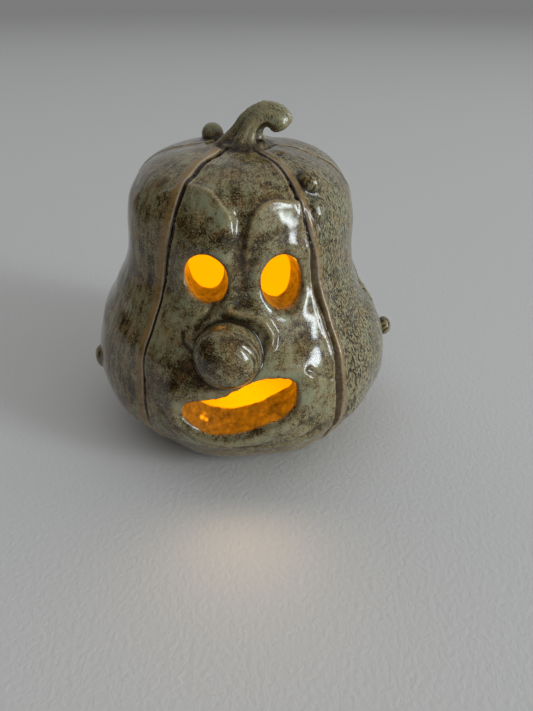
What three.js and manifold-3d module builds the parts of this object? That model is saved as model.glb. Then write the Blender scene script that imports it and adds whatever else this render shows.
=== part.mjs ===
// Glazed stoneware pumpkin lantern, hand built in one piece: a hollow bell-shaped gourd with an
// open foot, six cut grooves with raised lips, a cut-out face with a ball nose, a bent stem
// and small clay warts. It is set down over a small light.
// Millimetres, +Z up, face towards -Y, origin on the table under the middle of the whole lantern.
import * as THREE from "three";
import { mergeVertices } from "three/addons/utils/BufferGeometryUtils.js";
import Module from "manifold-3d";

const wasm = await Module();
wasm.setup();

// Driving dimensions of the hollow body
const BELLY_RADIUS = 52;
const BODY_HEIGHT = 100.5;
const FOOT_WALL = 8;
const BELLY_WALL = 11;
const CROWN_WALL = 8;
const BELOW_FOOT = 5;
const FOOT_FADE = 6;

// The nose and the warts widen the lantern's box, so the body's axis stands a little off its middle
const BODY_AXIS = { x: -1.0, y: 1.5 };

// Outer profile from the foot to the crown, as shares of the belly radius and the body height
const OUTER_PROFILE = [
  [0.63, 0],
  [0.77, 0.055],
  [0.91, 0.145],
  [1.0, 0.28],
  [0.955, 0.425],
  [0.81, 0.56],
  [0.72, 0.68],
  [0.705, 0.79],
  [0.632, 0.895],
  [0.455, 0.966],
  [0.21, 0.993],
  [0, 1],
];

// Grooves: angle from the front on the lower body, angle beside the stem, and the lipped side
const GROOVES = [
  { low: -35, top: -22, lip: -1 },
  { low: 36, top: 27, lip: 1 },
  { low: 93, top: 86, lip: 1 },
  { low: 150, top: 152, lip: 1 },
  { low: 208, top: 206, lip: -1 },
  { low: 264, top: 266, lip: -1 },
];
const GROOVE_TURN = [0.6, 0.99];
const GROOVE_CUT = { depth: 1.7, reach: 1.3 };
const GROOVE_PILLOW = { depth: 1.5, reach: 7 };
const GROOVE_LIP = { rise: 1.3, offset: 3.2, reach: 1.9 };
const GROOVE_FADE_RADIUS = [6, 13];

// Grid of the skin: columns for each panel between two grooves, crowded towards the grooves
const FACE_COLUMNS = 26;
const SIDE_COLUMNS = 11;
const COLUMN_CROWDING = 0.62;
const SKIN_ROWS = 38;
const PROFILE_HALVINGS = 30;
const WELD_DISTANCE = 1e-3;
const CAVITY_COLUMNS = 32;
const CAVITY_ROWS = 16;

// Face, seen from the front: x across and z up, fading out at an angle to either side
const FACE_HALF_ANGLE = 60;
const EYES = [
  { x: -8.7, z: 71.6, halfWidth: 6.3, halfHeight: 7.3, tilt: 0, turn: -3 },
  { x: 12.9, z: 70.6, halfWidth: 6.6, halfHeight: 7.9, tilt: -8, turn: 17 },
];
const EYE_SIDES = 28;
const EYE_CUT_INSIDE = 12;
const EYE_RIM = { rise: 0.7, offset: 2.0, reach: 2.2 };
const MOUTH = [
  [-17.2, 34.4],
  [-9.5, 38.9],
  [-2.6, 40.3],
  [3.2, 43.8],
  [15, 44.6],
  [17.9, 40.6],
  [15.6, 35.6],
  [5, 28.1],
  [-4, 25.6],
  [-12, 26.2],
];
const MOUTH_SIDES = 44;
const MOUTH_TAPER = 0.15;
const MOUTH_TILT = 5;
const MOUTH_LIP = { rise: 1.5, offset: 3.2, reach: 3.0 };
const NOSE = { x: -2.7, z: 51.5, out: 2.0, halfWidth: 9.7, halfDepth: 9.2, halfHeight: 9.3 };

// Modelled relief of the face: paths in x and z, how far it reaches and how high it rises
const FACE_RELIEF = [
  { path: [[-10, 90], [-8.5, 84]], reach: 7, rise: 1.8 },
  { path: [[8.5, 85.5], [17, 85]], reach: 7, rise: 1.8 },
  { path: [[0.4, 91], [0.8, 66]], reach: 4.5, rise: -1.1 },
  { path: [[-0.5, 60.6], [5, 59.3], [10, 56.2], [12.4, 52.4], [11.2, 49]], reach: 3, rise: 1.5 },
  { path: [[-12.9, 53.4], [-12.9, 53.2]], reach: 3.2, rise: 1.4 },
  { path: [[-21, 52], [-22, 44]], reach: 9, rise: 0.8 },
  { path: [[22, 53], [24, 42]], reach: 9, rise: 1.0 },
  { path: [[-12, 18.5], [14, 20]], reach: 3.6, rise: -0.7 },
];

// Hand-made unevenness of the sides, in degrees from the front and shares of the height
const SIDE_DENTS = [
  { angle: 88, height: 0.49, spread: 46, reach: 0.13, rise: -1.8 },
  { angle: -88, height: 0.56, spread: 46, reach: 0.12, rise: 1.3 },
  { angle: 180, height: 0.35, spread: 50, reach: 0.2, rise: 0.9 },
  { angle: -135, height: 0.72, spread: 34, reach: 0.12, rise: -0.9 },
  { angle: 31, height: 0.03, spread: 13, reach: 0.1, rise: 3.2 },
];

// Stem: a thick root on the crown that rises, bends over to the right and ends bluntly
const STEM_PATH = [
  [1.2, -0.5, -3.5],
  [2.4, -0.5, 1.8],
  [4.3, -0.8, 5.6],
  [8.2, -1.2, 7.9],
  [11.8, -1.6, 7.0],
  [13.9, -1.8, 4.4],
];
const STEM_RADII = [8.0, 4.9, 3.7, 3.5, 3.7, 3.7];
const STEM_SIDES = 16;
const STEM_STEPS = 20;
const STEM_TIP = { share: 0.09, rounding: 0.7 };

// Warts: angle from the front, height share on the profile, radius, how far out, flattening
const WARTS = [
  { angle: -133, height: 0.992, radius: 3.0, out: 1.2, flat: 0.95 },
  { angle: 45, height: 0.932, radius: 3.4, out: 0.8, flat: 0.75 },
  { angle: 98, height: 0.318, radius: 3.0, out: 1.0, flat: 0.7 },
  { angle: -74, height: 0.3, radius: 3.9, out: 0.4, flat: 0.5 },
  { angle: 172, height: 0.62, radius: 3.2, out: 0.9, flat: 0.8 },
  { angle: -148, height: 0.3, radius: 3.4, out: 0.8, flat: 0.75 },
];
const WART_SIDES = 10;
const WART_RINGS = 6;
const NOSE_SIDES = 22;
const NOSE_RINGS = 14;

const GLAZE = new THREE.MeshStandardMaterial({ color: 0x5a5646, roughness: 0.22, metalness: 0 });

const { degToRad, clamp, lerp, smoothstep } = THREE.MathUtils;

// A soft hump: 1 at the middle, 0 from the edge of its reach outwards
function hump(distance, reach) {
  const share = Math.min(1, Math.abs(distance) / reach);
  return (1 - share * share) ** 2;
}

// Shortest distance from the point (x, z) to a path of straight stretches
function distanceToPath(x, z, path) {
  let nearest = Infinity;
  for (let i = 0; i + 1 < path.length; i += 1) {
    const [ax, az] = path[i];
    const [bx, bz] = path[i + 1];
    const lengthSquared = (bx - ax) ** 2 + (bz - az) ** 2;
    const along = clamp(((x - ax) * (bx - ax) + (z - az) * (bz - az)) / lengthSquared, 0, 1);
    nearest = Math.min(nearest, Math.hypot(x - lerp(ax, bx, along), z - lerp(az, bz, along)));
  }
  return nearest;
}

// Signed difference of two angles in degrees, from -180 to 180
function turnBetween(from, to) {
  return ((((to - from + 180) % 360) + 360) % 360) - 180;
}

const outerPoints = OUTER_PROFILE.map(([radius, height]) => [radius * BELLY_RADIUS, height * BODY_HEIGHT]);
const outerCurve = new THREE.SplineCurve(outerPoints.map((point) => new THREE.Vector2(...point)));

// Point and outward normal of the outer profile where it reaches a share of the body height
function profileAt(heightShare) {
  let low = 0;
  let high = 1;
  for (let halving = 0; halving < PROFILE_HALVINGS; halving += 1) {
    const middle = (low + high) / 2;
    if (outerCurve.getPoint(middle).y < heightShare * BODY_HEIGHT) low = middle;
    else high = middle;
  }
  return { point: outerCurve.getPoint(low), normal: profileNormal(low) };
}

function profileNormal(t) {
  const tangent = outerCurve.getTangent(t);
  return new THREE.Vector2(tangent.y, -tangent.x);
}

// The wall is thickest at the belly and thinner at the foot and the crown
function wallAt(height) {
  const share = clamp(height / BODY_HEIGHT, 0, 1);
  const fromFoot = lerp(FOOT_WALL, BELLY_WALL, smoothstep(share, 0, 0.2));
  return lerp(fromFoot, CROWN_WALL, smoothstep(share, 0.4, 0.75));
}

function grooveAngle(groove, height) {
  return lerp(groove.low, groove.top, smoothstep(height / BODY_HEIGHT, ...GROOVE_TURN));
}

// Lobed swelling between the grooves, the cut line itself and the raised lip beside it
function grooveRelief(angle, radius, height) {
  let relief = 0;
  for (const groove of GROOVES) {
    const across = degToRad(turnBetween(grooveAngle(groove, height), angle)) * radius;
    const besideLip = across * groove.lip - GROOVE_LIP.offset;
    relief -= GROOVE_PILLOW.depth * Math.exp(-((across / GROOVE_PILLOW.reach) ** 2));
    relief -= GROOVE_CUT.depth * hump(across, GROOVE_CUT.reach);
    relief += GROOVE_LIP.rise * Math.exp(-((besideLip / GROOVE_LIP.reach) ** 2));
  }
  return relief * smoothstep(radius, ...GROOVE_FADE_RADIUS);
}

const mouthCurve = new THREE.CatmullRomCurve3(
  MOUTH.map(([x, z]) => new THREE.Vector3(x, 0, z)),
  true,
);
const mouthOutline = mouthCurve.getSpacedPoints(MOUTH_SIDES).slice(0, -1);
const mouthPath = [...mouthOutline, mouthOutline[0]].map((p) => [p.x, p.z]);

// Brows, frown line, folds and cheeks, and the rounded rims of the eyes and the mouth
function faceRelief(x, z) {
  let relief = 0;
  for (const { path, reach, rise } of FACE_RELIEF) {
    relief += rise * hump(distanceToPath(x, z, path), reach);
  }
  for (const eye of EYES) {
    const outside = Math.hypot((x - eye.x) / eye.halfWidth, (z - eye.z) / eye.halfHeight) - 1;
    const distance = outside * eye.halfWidth - EYE_RIM.offset;
    relief += EYE_RIM.rise * Math.exp(-((distance / EYE_RIM.reach) ** 2));
  }
  const besideMouth = distanceToPath(x, z, mouthPath) - MOUTH_LIP.offset;
  relief += MOUTH_LIP.rise * Math.exp(-((besideMouth / MOUTH_LIP.reach) ** 2));
  return relief;
}

function sideRelief(angle, height) {
  let relief = 0;
  for (const dent of SIDE_DENTS) {
    const across = turnBetween(dent.angle, angle) / dent.spread;
    const up = (height / BODY_HEIGHT - dent.height) / dent.reach;
    relief += dent.rise * Math.exp(-(across ** 2) - up ** 2);
  }
  return relief;
}

// The angle of a column: columns crowd towards the grooves at both edges of their panel
function columnAngle(column, height) {
  let first = column;
  for (let k = 0; k < GROOVES.length; k += 1) {
    const count = k === 0 ? FACE_COLUMNS : SIDE_COLUMNS;
    if (first <= count) {
      const share = first / count;
      const eased = lerp(share, smoothstep(share, 0, 1), COLUMN_CROWDING);
      const start = grooveAngle(GROOVES[k], height);
      const next = grooveAngle(GROOVES[(k + 1) % GROOVES.length], height);
      return lerp(start, next > start ? next : next + 360, eased);
    }
    first -= count;
  }
  return grooveAngle(GROOVES[0], height) + 360;
}

// A closed geometry with shared vertices and no empty triangles, as a solid
function solidOf(geometry) {
  const bare = new THREE.BufferGeometry();
  bare.setAttribute("position", geometry.getAttribute("position"));
  bare.setIndex(geometry.getIndex());
  const merged = mergeVertices(bare, WELD_DISTANCE);
  const triVerts = [];
  for (let i = 0; i < merged.index.count; i += 3) {
    const [a, b, c] = [0, 1, 2].map((k) => merged.index.getX(i + k));
    if (a !== b && b !== c && c !== a) triVerts.push(a, b, c);
  }
  const vertProperties = merged.getAttribute("position").array;
  const triangles = new Uint32Array(triVerts);
  return new wasm.Manifold(new wasm.Mesh({ numProp: 3, vertProperties, triVerts: triangles }));
}

function geometryOf(solid) {
  const mesh = solid.getMesh();
  const vertices = new Float32Array(mesh.vertProperties);
  const geometry = new THREE.BufferGeometry();
  geometry.setAttribute("position", new THREE.BufferAttribute(vertices, 3));
  geometry.setIndex(new THREE.BufferAttribute(new Uint32Array(mesh.triVerts), 1));
  geometry.computeVertexNormals();
  return geometry;
}

// Moves every vertex of a geometry to the place that a function gives for it
function reshape(geometry, place) {
  const position = geometry.getAttribute("position");
  const from = new THREE.Vector3();
  for (let i = 0; i < position.count; i += 1) {
    place(from.fromBufferAttribute(position, i), i);
    position.setXYZ(i, from.x, from.y, from.z);
  }
  return geometry;
}

// All the relief of the skin at one place
function skinRelief(angle, radius, height) {
  const inFront = hump(turnBetween(0, angle), FACE_HALF_ANGLE);
  const across = radius * Math.sin(degToRad(angle));
  const front = inFront > 0 ? faceRelief(across, height) * Math.sqrt(inFront) : 0;
  return grooveRelief(angle, radius, height) + sideRelief(angle, height) + front;
}

// The modelled skin: a lathe turned from the outer profile, each vertex moved out by the relief
function outerSkin() {
  const columns = FACE_COLUMNS + SIDE_COLUMNS * (GROOVES.length - 1);
  const rows = Array.from({ length: SKIN_ROWS + 1 }, (_, row) => row / SKIN_ROWS);
  const ts = rows.map((share) => outerCurve.getUtoTmapping(share));
  const profile = ts.map((t) => outerCurve.getPoint(t));
  profile[SKIN_ROWS].x = 0;
  const closed = [new THREE.Vector2(0, 0), ...profile];
  const lathe = new THREE.LatheGeometry(closed, columns);
  return reshape(lathe, (vertex, i) => {
    const column = Math.floor(i / closed.length);
    const row = (i % closed.length) - 1;
    if (row < 0) return vertex.set(0, 0, 0);
    const { x: radius, y: height } = profile[row];
    const angle = columnAngle(column, height);
    const turn = degToRad(angle);
    const relief = row === SKIN_ROWS ? 0 : skinRelief(angle, radius, height);
    const normal = profileNormal(ts[row]);
    const out = radius + relief * normal.x;
    const up = height + relief * normal.y * smoothstep(height, 0, FOOT_FADE);
    return vertex.set(out * Math.sin(turn), -out * Math.cos(turn), up);
  });
}

// The hollow: the outer profile moved in by the wall, run out below the foot
function cavity() {
  const inner = [];
  for (let row = 0; row <= CAVITY_ROWS; row += 1) {
    const t = outerCurve.getUtoTmapping(row / CAVITY_ROWS);
    const point = outerCurve.getPoint(t);
    point.addScaledVector(profileNormal(t), -wallAt(point.y));
    inner.push(new THREE.Vector2(Math.max(point.x, 0), point.y));
  }
  inner[CAVITY_ROWS].x = 0;
  const mouthRadius = inner[0].x;
  const above = inner.filter((point) => point.y > BELOW_FOOT);
  const start = [0, mouthRadius].map((radius) => new THREE.Vector2(radius, -BELOW_FOOT));
  return new THREE.LatheGeometry([...start, ...above], CAVITY_COLUMNS).rotateX(Math.PI / 2);
}

// An oval tube through the wall, turned with the face
function eyeCutter({ x, z, halfWidth, halfHeight, tilt, turn }) {
  const length = BELLY_RADIUS;
  const tube = new THREE.CylinderGeometry(1, 1, length, EYE_SIDES).scale(halfWidth, 1, halfHeight);
  tube.rotateY(degToRad(-tilt));
  tube.translate(0, EYE_CUT_INSIDE - length / 2, 0).rotateZ(degToRad(turn));
  const { point } = profileAt(z / BODY_HEIGHT);
  return tube.translate(x, -Math.sqrt(point.x ** 2 - x ** 2), z);
}

// A block of the mouth's outline through the wall, narrowing inwards and tilted down to the front
function mouthCutter() {
  const centre = new THREE.Vector3();
  for (const point of mouthOutline) centre.addScaledVector(point, 1 / mouthOutline.length);
  const outline = mouthOutline.map((point) => point.clone().sub(centre));
  const shape = new THREE.Shape(outline.map(({ x, z }) => new THREE.Vector2(x, z)));
  const inside = 2 * BELLY_WALL;
  const outside = BELLY_WALL;
  const block = new THREE.ExtrudeGeometry(shape, { depth: inside + outside, bevelEnabled: false });
  block.translate(0, 0, -inside).rotateX(Math.PI / 2);
  reshape(block, (vertex) => {
    const narrowing = 1 - (MOUTH_TAPER * vertex.y) / BELLY_WALL;
    return vertex.set(vertex.x * narrowing, vertex.y, vertex.z * narrowing);
  });
  block.rotateX(degToRad(MOUTH_TILT));
  const { point } = profileAt(centre.z / BODY_HEIGHT);
  return block.translate(centre.x, -point.x, centre.z);
}

function nose() {
  const { point } = profileAt(NOSE.z / BODY_HEIGHT);
  const ball = new THREE.SphereGeometry(1, NOSE_SIDES, NOSE_RINGS).rotateX(Math.PI / 2);
  ball.scale(NOSE.halfWidth, NOSE.halfDepth, NOSE.halfHeight);
  return ball.translate(NOSE.x, -Math.sqrt(point.x ** 2 - NOSE.x ** 2) - NOSE.out, NOSE.z);
}

// The stem is a cylinder bent along its path, its radius changing on the way and its tip rounded
function stem() {
  const path = new THREE.CatmullRomCurve3(
    STEM_PATH.map(([x, y, z]) => new THREE.Vector3(x, y, BODY_HEIGHT + z)),
  );
  const radii = new THREE.SplineCurve(STEM_RADII.map((radius, i) => new THREE.Vector2(i, radius)));
  const side = new THREE.Vector3(0, 1, 0);
  const tube = new THREE.CylinderGeometry(1, 1, 1, STEM_SIDES, STEM_STEPS);
  return reshape(tube, (vertex) => {
    const along = clamp(vertex.y + 0.5, 0, 1);
    const centre = path.getPoint(along);
    const tangent = path.getTangent(along);
    const across = new THREE.Vector3().crossVectors(side, tangent).normalize();
    const over = new THREE.Vector3().crossVectors(tangent, across);
    const intoTip = clamp((along - 1 + STEM_TIP.share) / STEM_TIP.share, 0, 1);
    const radius = radii.getPoint(along).y * Math.sqrt(1 - STEM_TIP.rounding * intoTip ** 2);
    centre.addScaledVector(across, vertex.z * radius).addScaledVector(over, vertex.x * radius);
    return vertex.copy(centre);
  });
}

function wart({ angle, height, radius, out, flat }) {
  const { point, normal } = profileAt(height);
  const turn = degToRad(angle);
  const outward = new THREE.Vector3(Math.sin(turn) * normal.x, -Math.cos(turn) * normal.x, normal.y);
  const centre = new THREE.Vector3(Math.sin(turn) * point.x, -Math.cos(turn) * point.x, point.y);
  const ball = new THREE.SphereGeometry(radius, WART_SIDES, WART_RINGS).scale(1, flat, 1);
  const upright = new THREE.Vector3(0, 1, 0);
  ball.applyQuaternion(new THREE.Quaternion().setFromUnitVectors(upright, outward.normalize()));
  return ball.translate(...centre.addScaledVector(outward, out));
}

let clay = solidOf(outerSkin()).subtract(solidOf(cavity()));
for (const eye of EYES) clay = clay.subtract(solidOf(eyeCutter(eye)));
clay = clay.subtract(solidOf(mouthCutter()));
for (const piece of [nose(), stem(), ...WARTS.map(wart)]) clay = clay.add(solidOf(piece));

const lantern = new THREE.Mesh(geometryOf(clay), GLAZE);
lantern.name = "lantern";
lantern.position.set(BODY_AXIS.x, BODY_AXIS.y, 0);

const group = new THREE.Group();
group.add(lantern);
export default group;
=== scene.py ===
"""Glazed stoneware pumpkin lantern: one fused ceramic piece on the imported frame, with its stage."""

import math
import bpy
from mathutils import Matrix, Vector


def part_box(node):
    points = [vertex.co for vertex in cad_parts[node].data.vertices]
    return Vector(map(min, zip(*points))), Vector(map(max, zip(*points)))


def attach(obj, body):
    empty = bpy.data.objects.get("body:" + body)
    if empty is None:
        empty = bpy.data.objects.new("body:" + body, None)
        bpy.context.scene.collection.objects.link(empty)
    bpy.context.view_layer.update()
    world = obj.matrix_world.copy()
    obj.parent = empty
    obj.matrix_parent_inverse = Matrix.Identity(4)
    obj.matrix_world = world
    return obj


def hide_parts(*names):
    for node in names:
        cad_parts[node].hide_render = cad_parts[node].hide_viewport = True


bl_info = {
    "name": "Stoneware pumpkin lantern",
    "version": (1, 0, 0),
    "blender": (4, 5, 0),
    "location": "View3D > Sidebar > Lantern",
    "description": "Builds a glazed pumpkin lantern with a cut-out face, lit from inside",
    "category": "Add Mesh",
}

import bpy
import numpy as np
import openvdb
from bpy.props import FloatProperty, FloatVectorProperty, PointerProperty
from mathutils import Vector

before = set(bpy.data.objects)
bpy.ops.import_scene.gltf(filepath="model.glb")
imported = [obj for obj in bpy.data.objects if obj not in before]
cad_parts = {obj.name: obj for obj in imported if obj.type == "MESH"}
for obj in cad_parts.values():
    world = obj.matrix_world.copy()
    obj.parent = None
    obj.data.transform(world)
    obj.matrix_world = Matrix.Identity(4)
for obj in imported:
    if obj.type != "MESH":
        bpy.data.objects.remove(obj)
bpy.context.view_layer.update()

# The clay is modelled in millimetres round the body's own axis, then set into the frame in metres
MM = 0.001
BODY_AXIS = (-1.0, 1.5, 0.0)
NODE = "lantern"
BODY = "root"
LIT_FACES = 1
BARE_FACES = 2

# Outer profile from the middle of the foot to the crown, as shares of belly radius and body height
PROFILE = [
    (0, 0),
    (0.63, 0),
    (0.77, 0.055),
    (0.91, 0.145),
    (1.0, 0.28),
    (0.955, 0.425),
    (0.81, 0.56),
    (0.72, 0.68),
    (0.705, 0.79),
    (0.632, 0.895),
    (0.455, 0.966),
    (0.21, 0.993),
    (0, 1),
]
PROFILE_CORNERS = (0, 1)
PROFILE_STEPS = 24
WALL_SHARES = {"belly": (0, 0.2), "crown": (0.4, 0.75)}
STEEPEST_WALL = 3
SKIN_COLUMNS = 900
SKIN_ROWS = 420
MERGE_DISTANCE = 0.002

# Grooves: angle low down and at the stem, shares between which it turns, lipped side, and the cut's sizes
GROOVE_CUTS = [
    dict(low=-35.6, top=-26.5, start=0.64, end=1.0, lip=-1, width=0.5, depth=2.2, floor=0.1),
    dict(low=38.5, top=32.8, start=0.64, end=0.95, lip=1, width=1.35, depth=1.5, floor=0.55),
    dict(low=93, top=86, start=0.6, end=0.99, lip=1, width=0.5, depth=1.5, floor=0.2),
    dict(low=150, top=152, start=0.6, end=0.99, lip=1, width=0.6, depth=1.8, floor=0.2),
    dict(low=208, top=206, start=0.6, end=0.99, lip=-1, width=0.8, depth=1.7, floor=0.3),
    dict(low=264, top=266, start=0.6, end=0.99, lip=-1, width=0.5, depth=1.7, floor=0.2),
]

# How much each cut widens or narrows, above which height share, and its lip's breadth beside the broadest
GROOVE_LIPS = [
    dict(flare=0.7, widen=0.9, band=1.0),
    dict(flare=-0.62, widen=0.765, band=0.75),
    dict(flare=0.0, widen=0.9, band=0.4),
    dict(flare=0.2, widen=0.9, band=0.8),
    dict(flare=-0.3, widen=0.9, band=0.7),
    dict(flare=0.0, widen=0.9, band=0.4),
]
GROOVES = [{**cut, **lip} for cut, lip in zip(GROOVE_CUTS, GROOVE_LIPS)]
GROOVE_SIZES = {
    "Slant": 0.8,
    "Pillow Depth": 0.5,
    "Pillow Reach": 5.0,
    "Edge Rise": 0.25,
    "Edge Reach": 0.4,
    "Lip Rise": 0.4,
    "Lip Offset": 2.4,
    "Lip Reach": 1.3,
}

# Half the height share over which a cut widens, and where the relief fades out by the stem and the foot
GROOVE_FLARE = 0.05
GROOVE_FADE = (6, 13)
FOOT_FADE = 6

# Face, seen from the front: x across and z up
FACE_HALF_ANGLE = 60
EYES = [
    {"x": -8.7, "z": 70.85, "wide": 6.3, "high": 7.3, "tilt": 0, "turn": 6},
    {"x": 13.5, "z": 69.1, "wide": 6.6, "high": 8.4, "tilt": -8, "turn": 21},
]
EYE_RIM = {"rise": 0.7, "offset": 2.0, "reach": 2.2}
EYE_CUT_INSIDE = 12
EYE_TAPER = 0.022
MOUTH = [
    (-16.9, 34.8),
    (-13.2, 37.3),
    (-8.6, 38.4),
    (-3.4, 39.3),
    (0.2, 41.2),
    (4.4, 43.6),
    (9.2, 44.3),
    (15.2, 43.8),
    (18.4, 41.4),
    (19.3, 36.8),
    (17.8, 32.6),
    (12.8, 30.2),
    (4.6, 27.2),
    (-4, 25.0),
    (-11.2, 25.4),
    (-16.4, 29.4),
]
MOUTH_STEPS = 5
MOUTH_TAPER = {"across": 0.12, "up": 0.25}
MOUTH_TILT = 9
MOUTH_LIP = {"rise": 1.3, "offset": 3.0, "reach": 2.8}
MOUTH_CUT = {"inside": 22, "outside": 11, "margin": 1.3}
CUT_WAVES = [{"length": 9, "rise": 0.16, "seed": 31}, {"length": 2.6, "rise": 0.07, "seed": 32}]
EYE_WAVES = 0.4
NOSE = {"x": -2.6, "z": 51.7, "out": 1.8, "half": (9.9, 9.4, 9.7)}
NOSE_FOLDS = {"angles": (56, 66, 76), "reach": 3.6, "depth": 0.45, "middle": 20, "spread": 65}

# Modelled relief of the face: paths in x and z, how far each reaches and how high it rises
FACE_RELIEF = [
    {"path": [(1.5, 91), (2.0, 83.5), (1.6, 76.8), (0.5, 66)], "reach": 5.2, "rise": -1.2},
    {"path": [(-1.6, 88.0), (-0.6, 89.6), (0.9, 91.2)], "reach": 1.6, "rise": 0.5},
    {"path": [(-10, 87.4), (-12.6, 81.6)], "reach": 1.8, "rise": 0.6},
    {"path": [(-1.6, 63), (-0.6, 67)], "reach": 5.5, "rise": 0.9},
    {"path": [(-1.8, 62.4), (3.6, 61.0), (7.8, 58.6), (10.0, 55.6), (9.8, 52.8)], "reach": 2.1, "rise": 1.5},
    {"path": [(-13.3, 54.4), (-13.1, 54.0)], "reach": 2.4, "rise": 1.5},
    {"path": [(-15.8, 55.4), (-15.6, 52.6), (-13.4, 51.2)], "reach": 1.1, "rise": -0.7},
    {"path": [(-12, 56.8), (-8.4, 60.8), (-6.6, 63.4)], "reach": 1.2, "rise": -0.9},
    {"path": [(-13.8, 58.4), (-9.8, 62.6)], "reach": 1.7, "rise": 0.5},
    {"path": [(-10.6, 54.8), (-8.4, 58.6)], "reach": 1.0, "rise": -0.6},
    {"path": [(-15.6, 57.4), (-15.3, 57.3)], "reach": 1.2, "rise": 0.5},
    {"path": [(-16, 64.6), (-12, 62.8), (-8.4, 63.4)], "reach": 2.0, "rise": -0.5},
    {"path": [(-21, 52), (-22, 44)], "reach": 9, "rise": 0.6},
    {"path": [(25, 58), (27.5, 45)], "reach": 10, "rise": 1.5},
    {"path": [(20.5, 45.4), (24, 43), (28.6, 40)], "reach": 1.3, "rise": -0.8},
    {"path": [(22, 36), (21, 31)], "reach": 8, "rise": -0.7},
    {"path": [(20.8, 91.4), (22.9, 90.3), (24.4, 88.8), (25.4, 86.6)], "reach": 1.1, "rise": -0.8},
    {
        "path": [(-25, 32), (-19.2, 27.0), (-13, 22.6), (-3, 19.2), (8, 18.0), (17, 20), (26, 23.6)],
        "reach": 1.8,
        "rise": -0.9,
    },
]

# Ledges of clay on the brow and the left shoulder: each stands out below its line and runs out
LEDGES = [
    {"line": [(-12.5, 94.6), (-9.2, 94.4), (-6.3, 93.5), (-3.9, 91.6), (-1.8, 89.4), (0, 88)], "rise": 0.95},
    {"line": [(3.0, 80), (4.0, 86), (5.1, 88.6), (7.7, 90.8), (11.2, 91.5), (18.6, 90.4)], "rise": 1.25},
    {"line": [(-23, 90.4), (-20.2, 92.1), (-17.1, 93.2), (-14.0, 95.2), (-11.4, 96.0)], "rise": 0.5},
]
LEDGE_STEPS = 6
LEDGE_EDGE = 0.4
LEDGE_BEAD = {"below": 0.8, "reach": 1.0, "rise": 0.3}
LEDGE_RUN = (1.5, 12.0)
LEDGE_END = 1.2

# Unevenness of the sides by hand, in degrees from the front and shares of the height
SIDE_DENTS = [
    {"angle": 88, "height": 0.49, "spread": 46, "reach": 0.13, "rise": -1.8},
    {"angle": -88, "height": 0.56, "spread": 46, "reach": 0.12, "rise": 1.3},
    {"angle": 180, "height": 0.35, "spread": 50, "reach": 0.2, "rise": 0.9},
    {"angle": -135, "height": 0.72, "spread": 34, "reach": 0.12, "rise": -0.9},
    {"angle": 33, "height": 0.03, "spread": 12, "reach": 0.1, "rise": 1.4},
]
HAND_WAVES = [
    {"length": 26, "rise": 0.24, "seed": 11},
    {"length": 11, "rise": 0.06, "seed": 12},
    {"length": 4.5, "rise": 0.018, "seed": 13},
]
WAVE_SPREAD = (0.7, 1.5)
BASE_RIDGES = {"spacing": 1.25, "rise": 0.09, "low": (1.5, 4), "high": (9, 15)}
BASE_SWAY = {"length": 9, "rise": 1.2, "seed": 21}
BASE_PATCHES = {"length": 14, "seed": 22}

# Crown: a ring pressed round the root of the stem, and two small pits beside it
STEM_COLLAR = {"x": 1.6, "y": -0.4, "radius": 8.6, "reach": 1.5, "rise": -1.0}
CROWN_PITS = [
    {"x": 8.6, "y": -4.6, "reach": 1.9, "rise": -1.5},
    {"x": 12.2, "y": -10.4, "reach": 1.8, "rise": -1.0},
]
CROWN_HEIGHT = 0.9

# Stem: points from the root to the blunt tip, heights above the crown, and its radius on the way
STEM_PATH = [
    (1.2, -0.5, -3.5),
    (2.4, -0.5, 1.8),
    (4.3, -0.8, 5.6),
    (8.2, -1.2, 7.9),
    (12.0, -1.6, 6.8),
    (14.5, -1.8, 3.9),
]
STEM_RADII = [10.6, 5.4, 3.9, 3.5, 3.7, 3.7]
STEM_FOLDS = {"depth": 0.36, "size": 0.42, "seed": 4.0}
STEM_FOLD_GAIN = 4.0
STEM_STEPS = 64
STEM_SIDES = 40
STEM_TIP = {"share": 0.09, "rounding": 0.75}

# Warts: angle from the front, height share on the profile, radius, how far out, flattening
WARTS = [
    {"angle": -133, "height": 0.992, "radius": 3.5, "out": 1.0, "flat": 0.95},
    {"angle": 45, "height": 0.932, "radius": 3.4, "out": 0.8, "flat": 0.75},
    {"angle": 94, "height": 0.318, "radius": 3.5, "out": 1.5, "flat": 0.75},
    {"angle": -74, "height": 0.3, "radius": 3.9, "out": 0.4, "flat": 0.5},
    {"angle": 172, "height": 0.62, "radius": 3.2, "out": 0.9, "flat": 0.8},
    {"angle": -148, "height": 0.3, "radius": 3.4, "out": 0.8, "flat": 0.75},
    {"angle": 43.5, "height": 0.866, "radius": 3.0, "out": -0.2, "flat": 0.4},
]

# The dimpled wart: which one it is, the radius of the dimple's ball and how far its centre stands off
BUTTON = 1
BUTTON_DIMPLE = {"radius": 1.5, "off": 0.6}
BALL_SEGMENTS = 32
BALL_RINGS = 20

# Fillets where clay meets clay, and the band of distances kept round each surface
FILLETS = {"foot": 1.6, "eye": 1.1, "mouth": 1.7, "nose": 0.8, "stem": 0.9, "wart": 0.8}
BAND_VOXELS = 9
GRID_MARGIN = 5

# Faces are thinned to a limit outside the front, and on the inner wall away from the cuts and the foot
FACE_LIMIT = 190000
FRONT_HALF_ANGLE = 62
HIDDEN_WALL = {"from_cut": 2, "above_table": 4}

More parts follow.
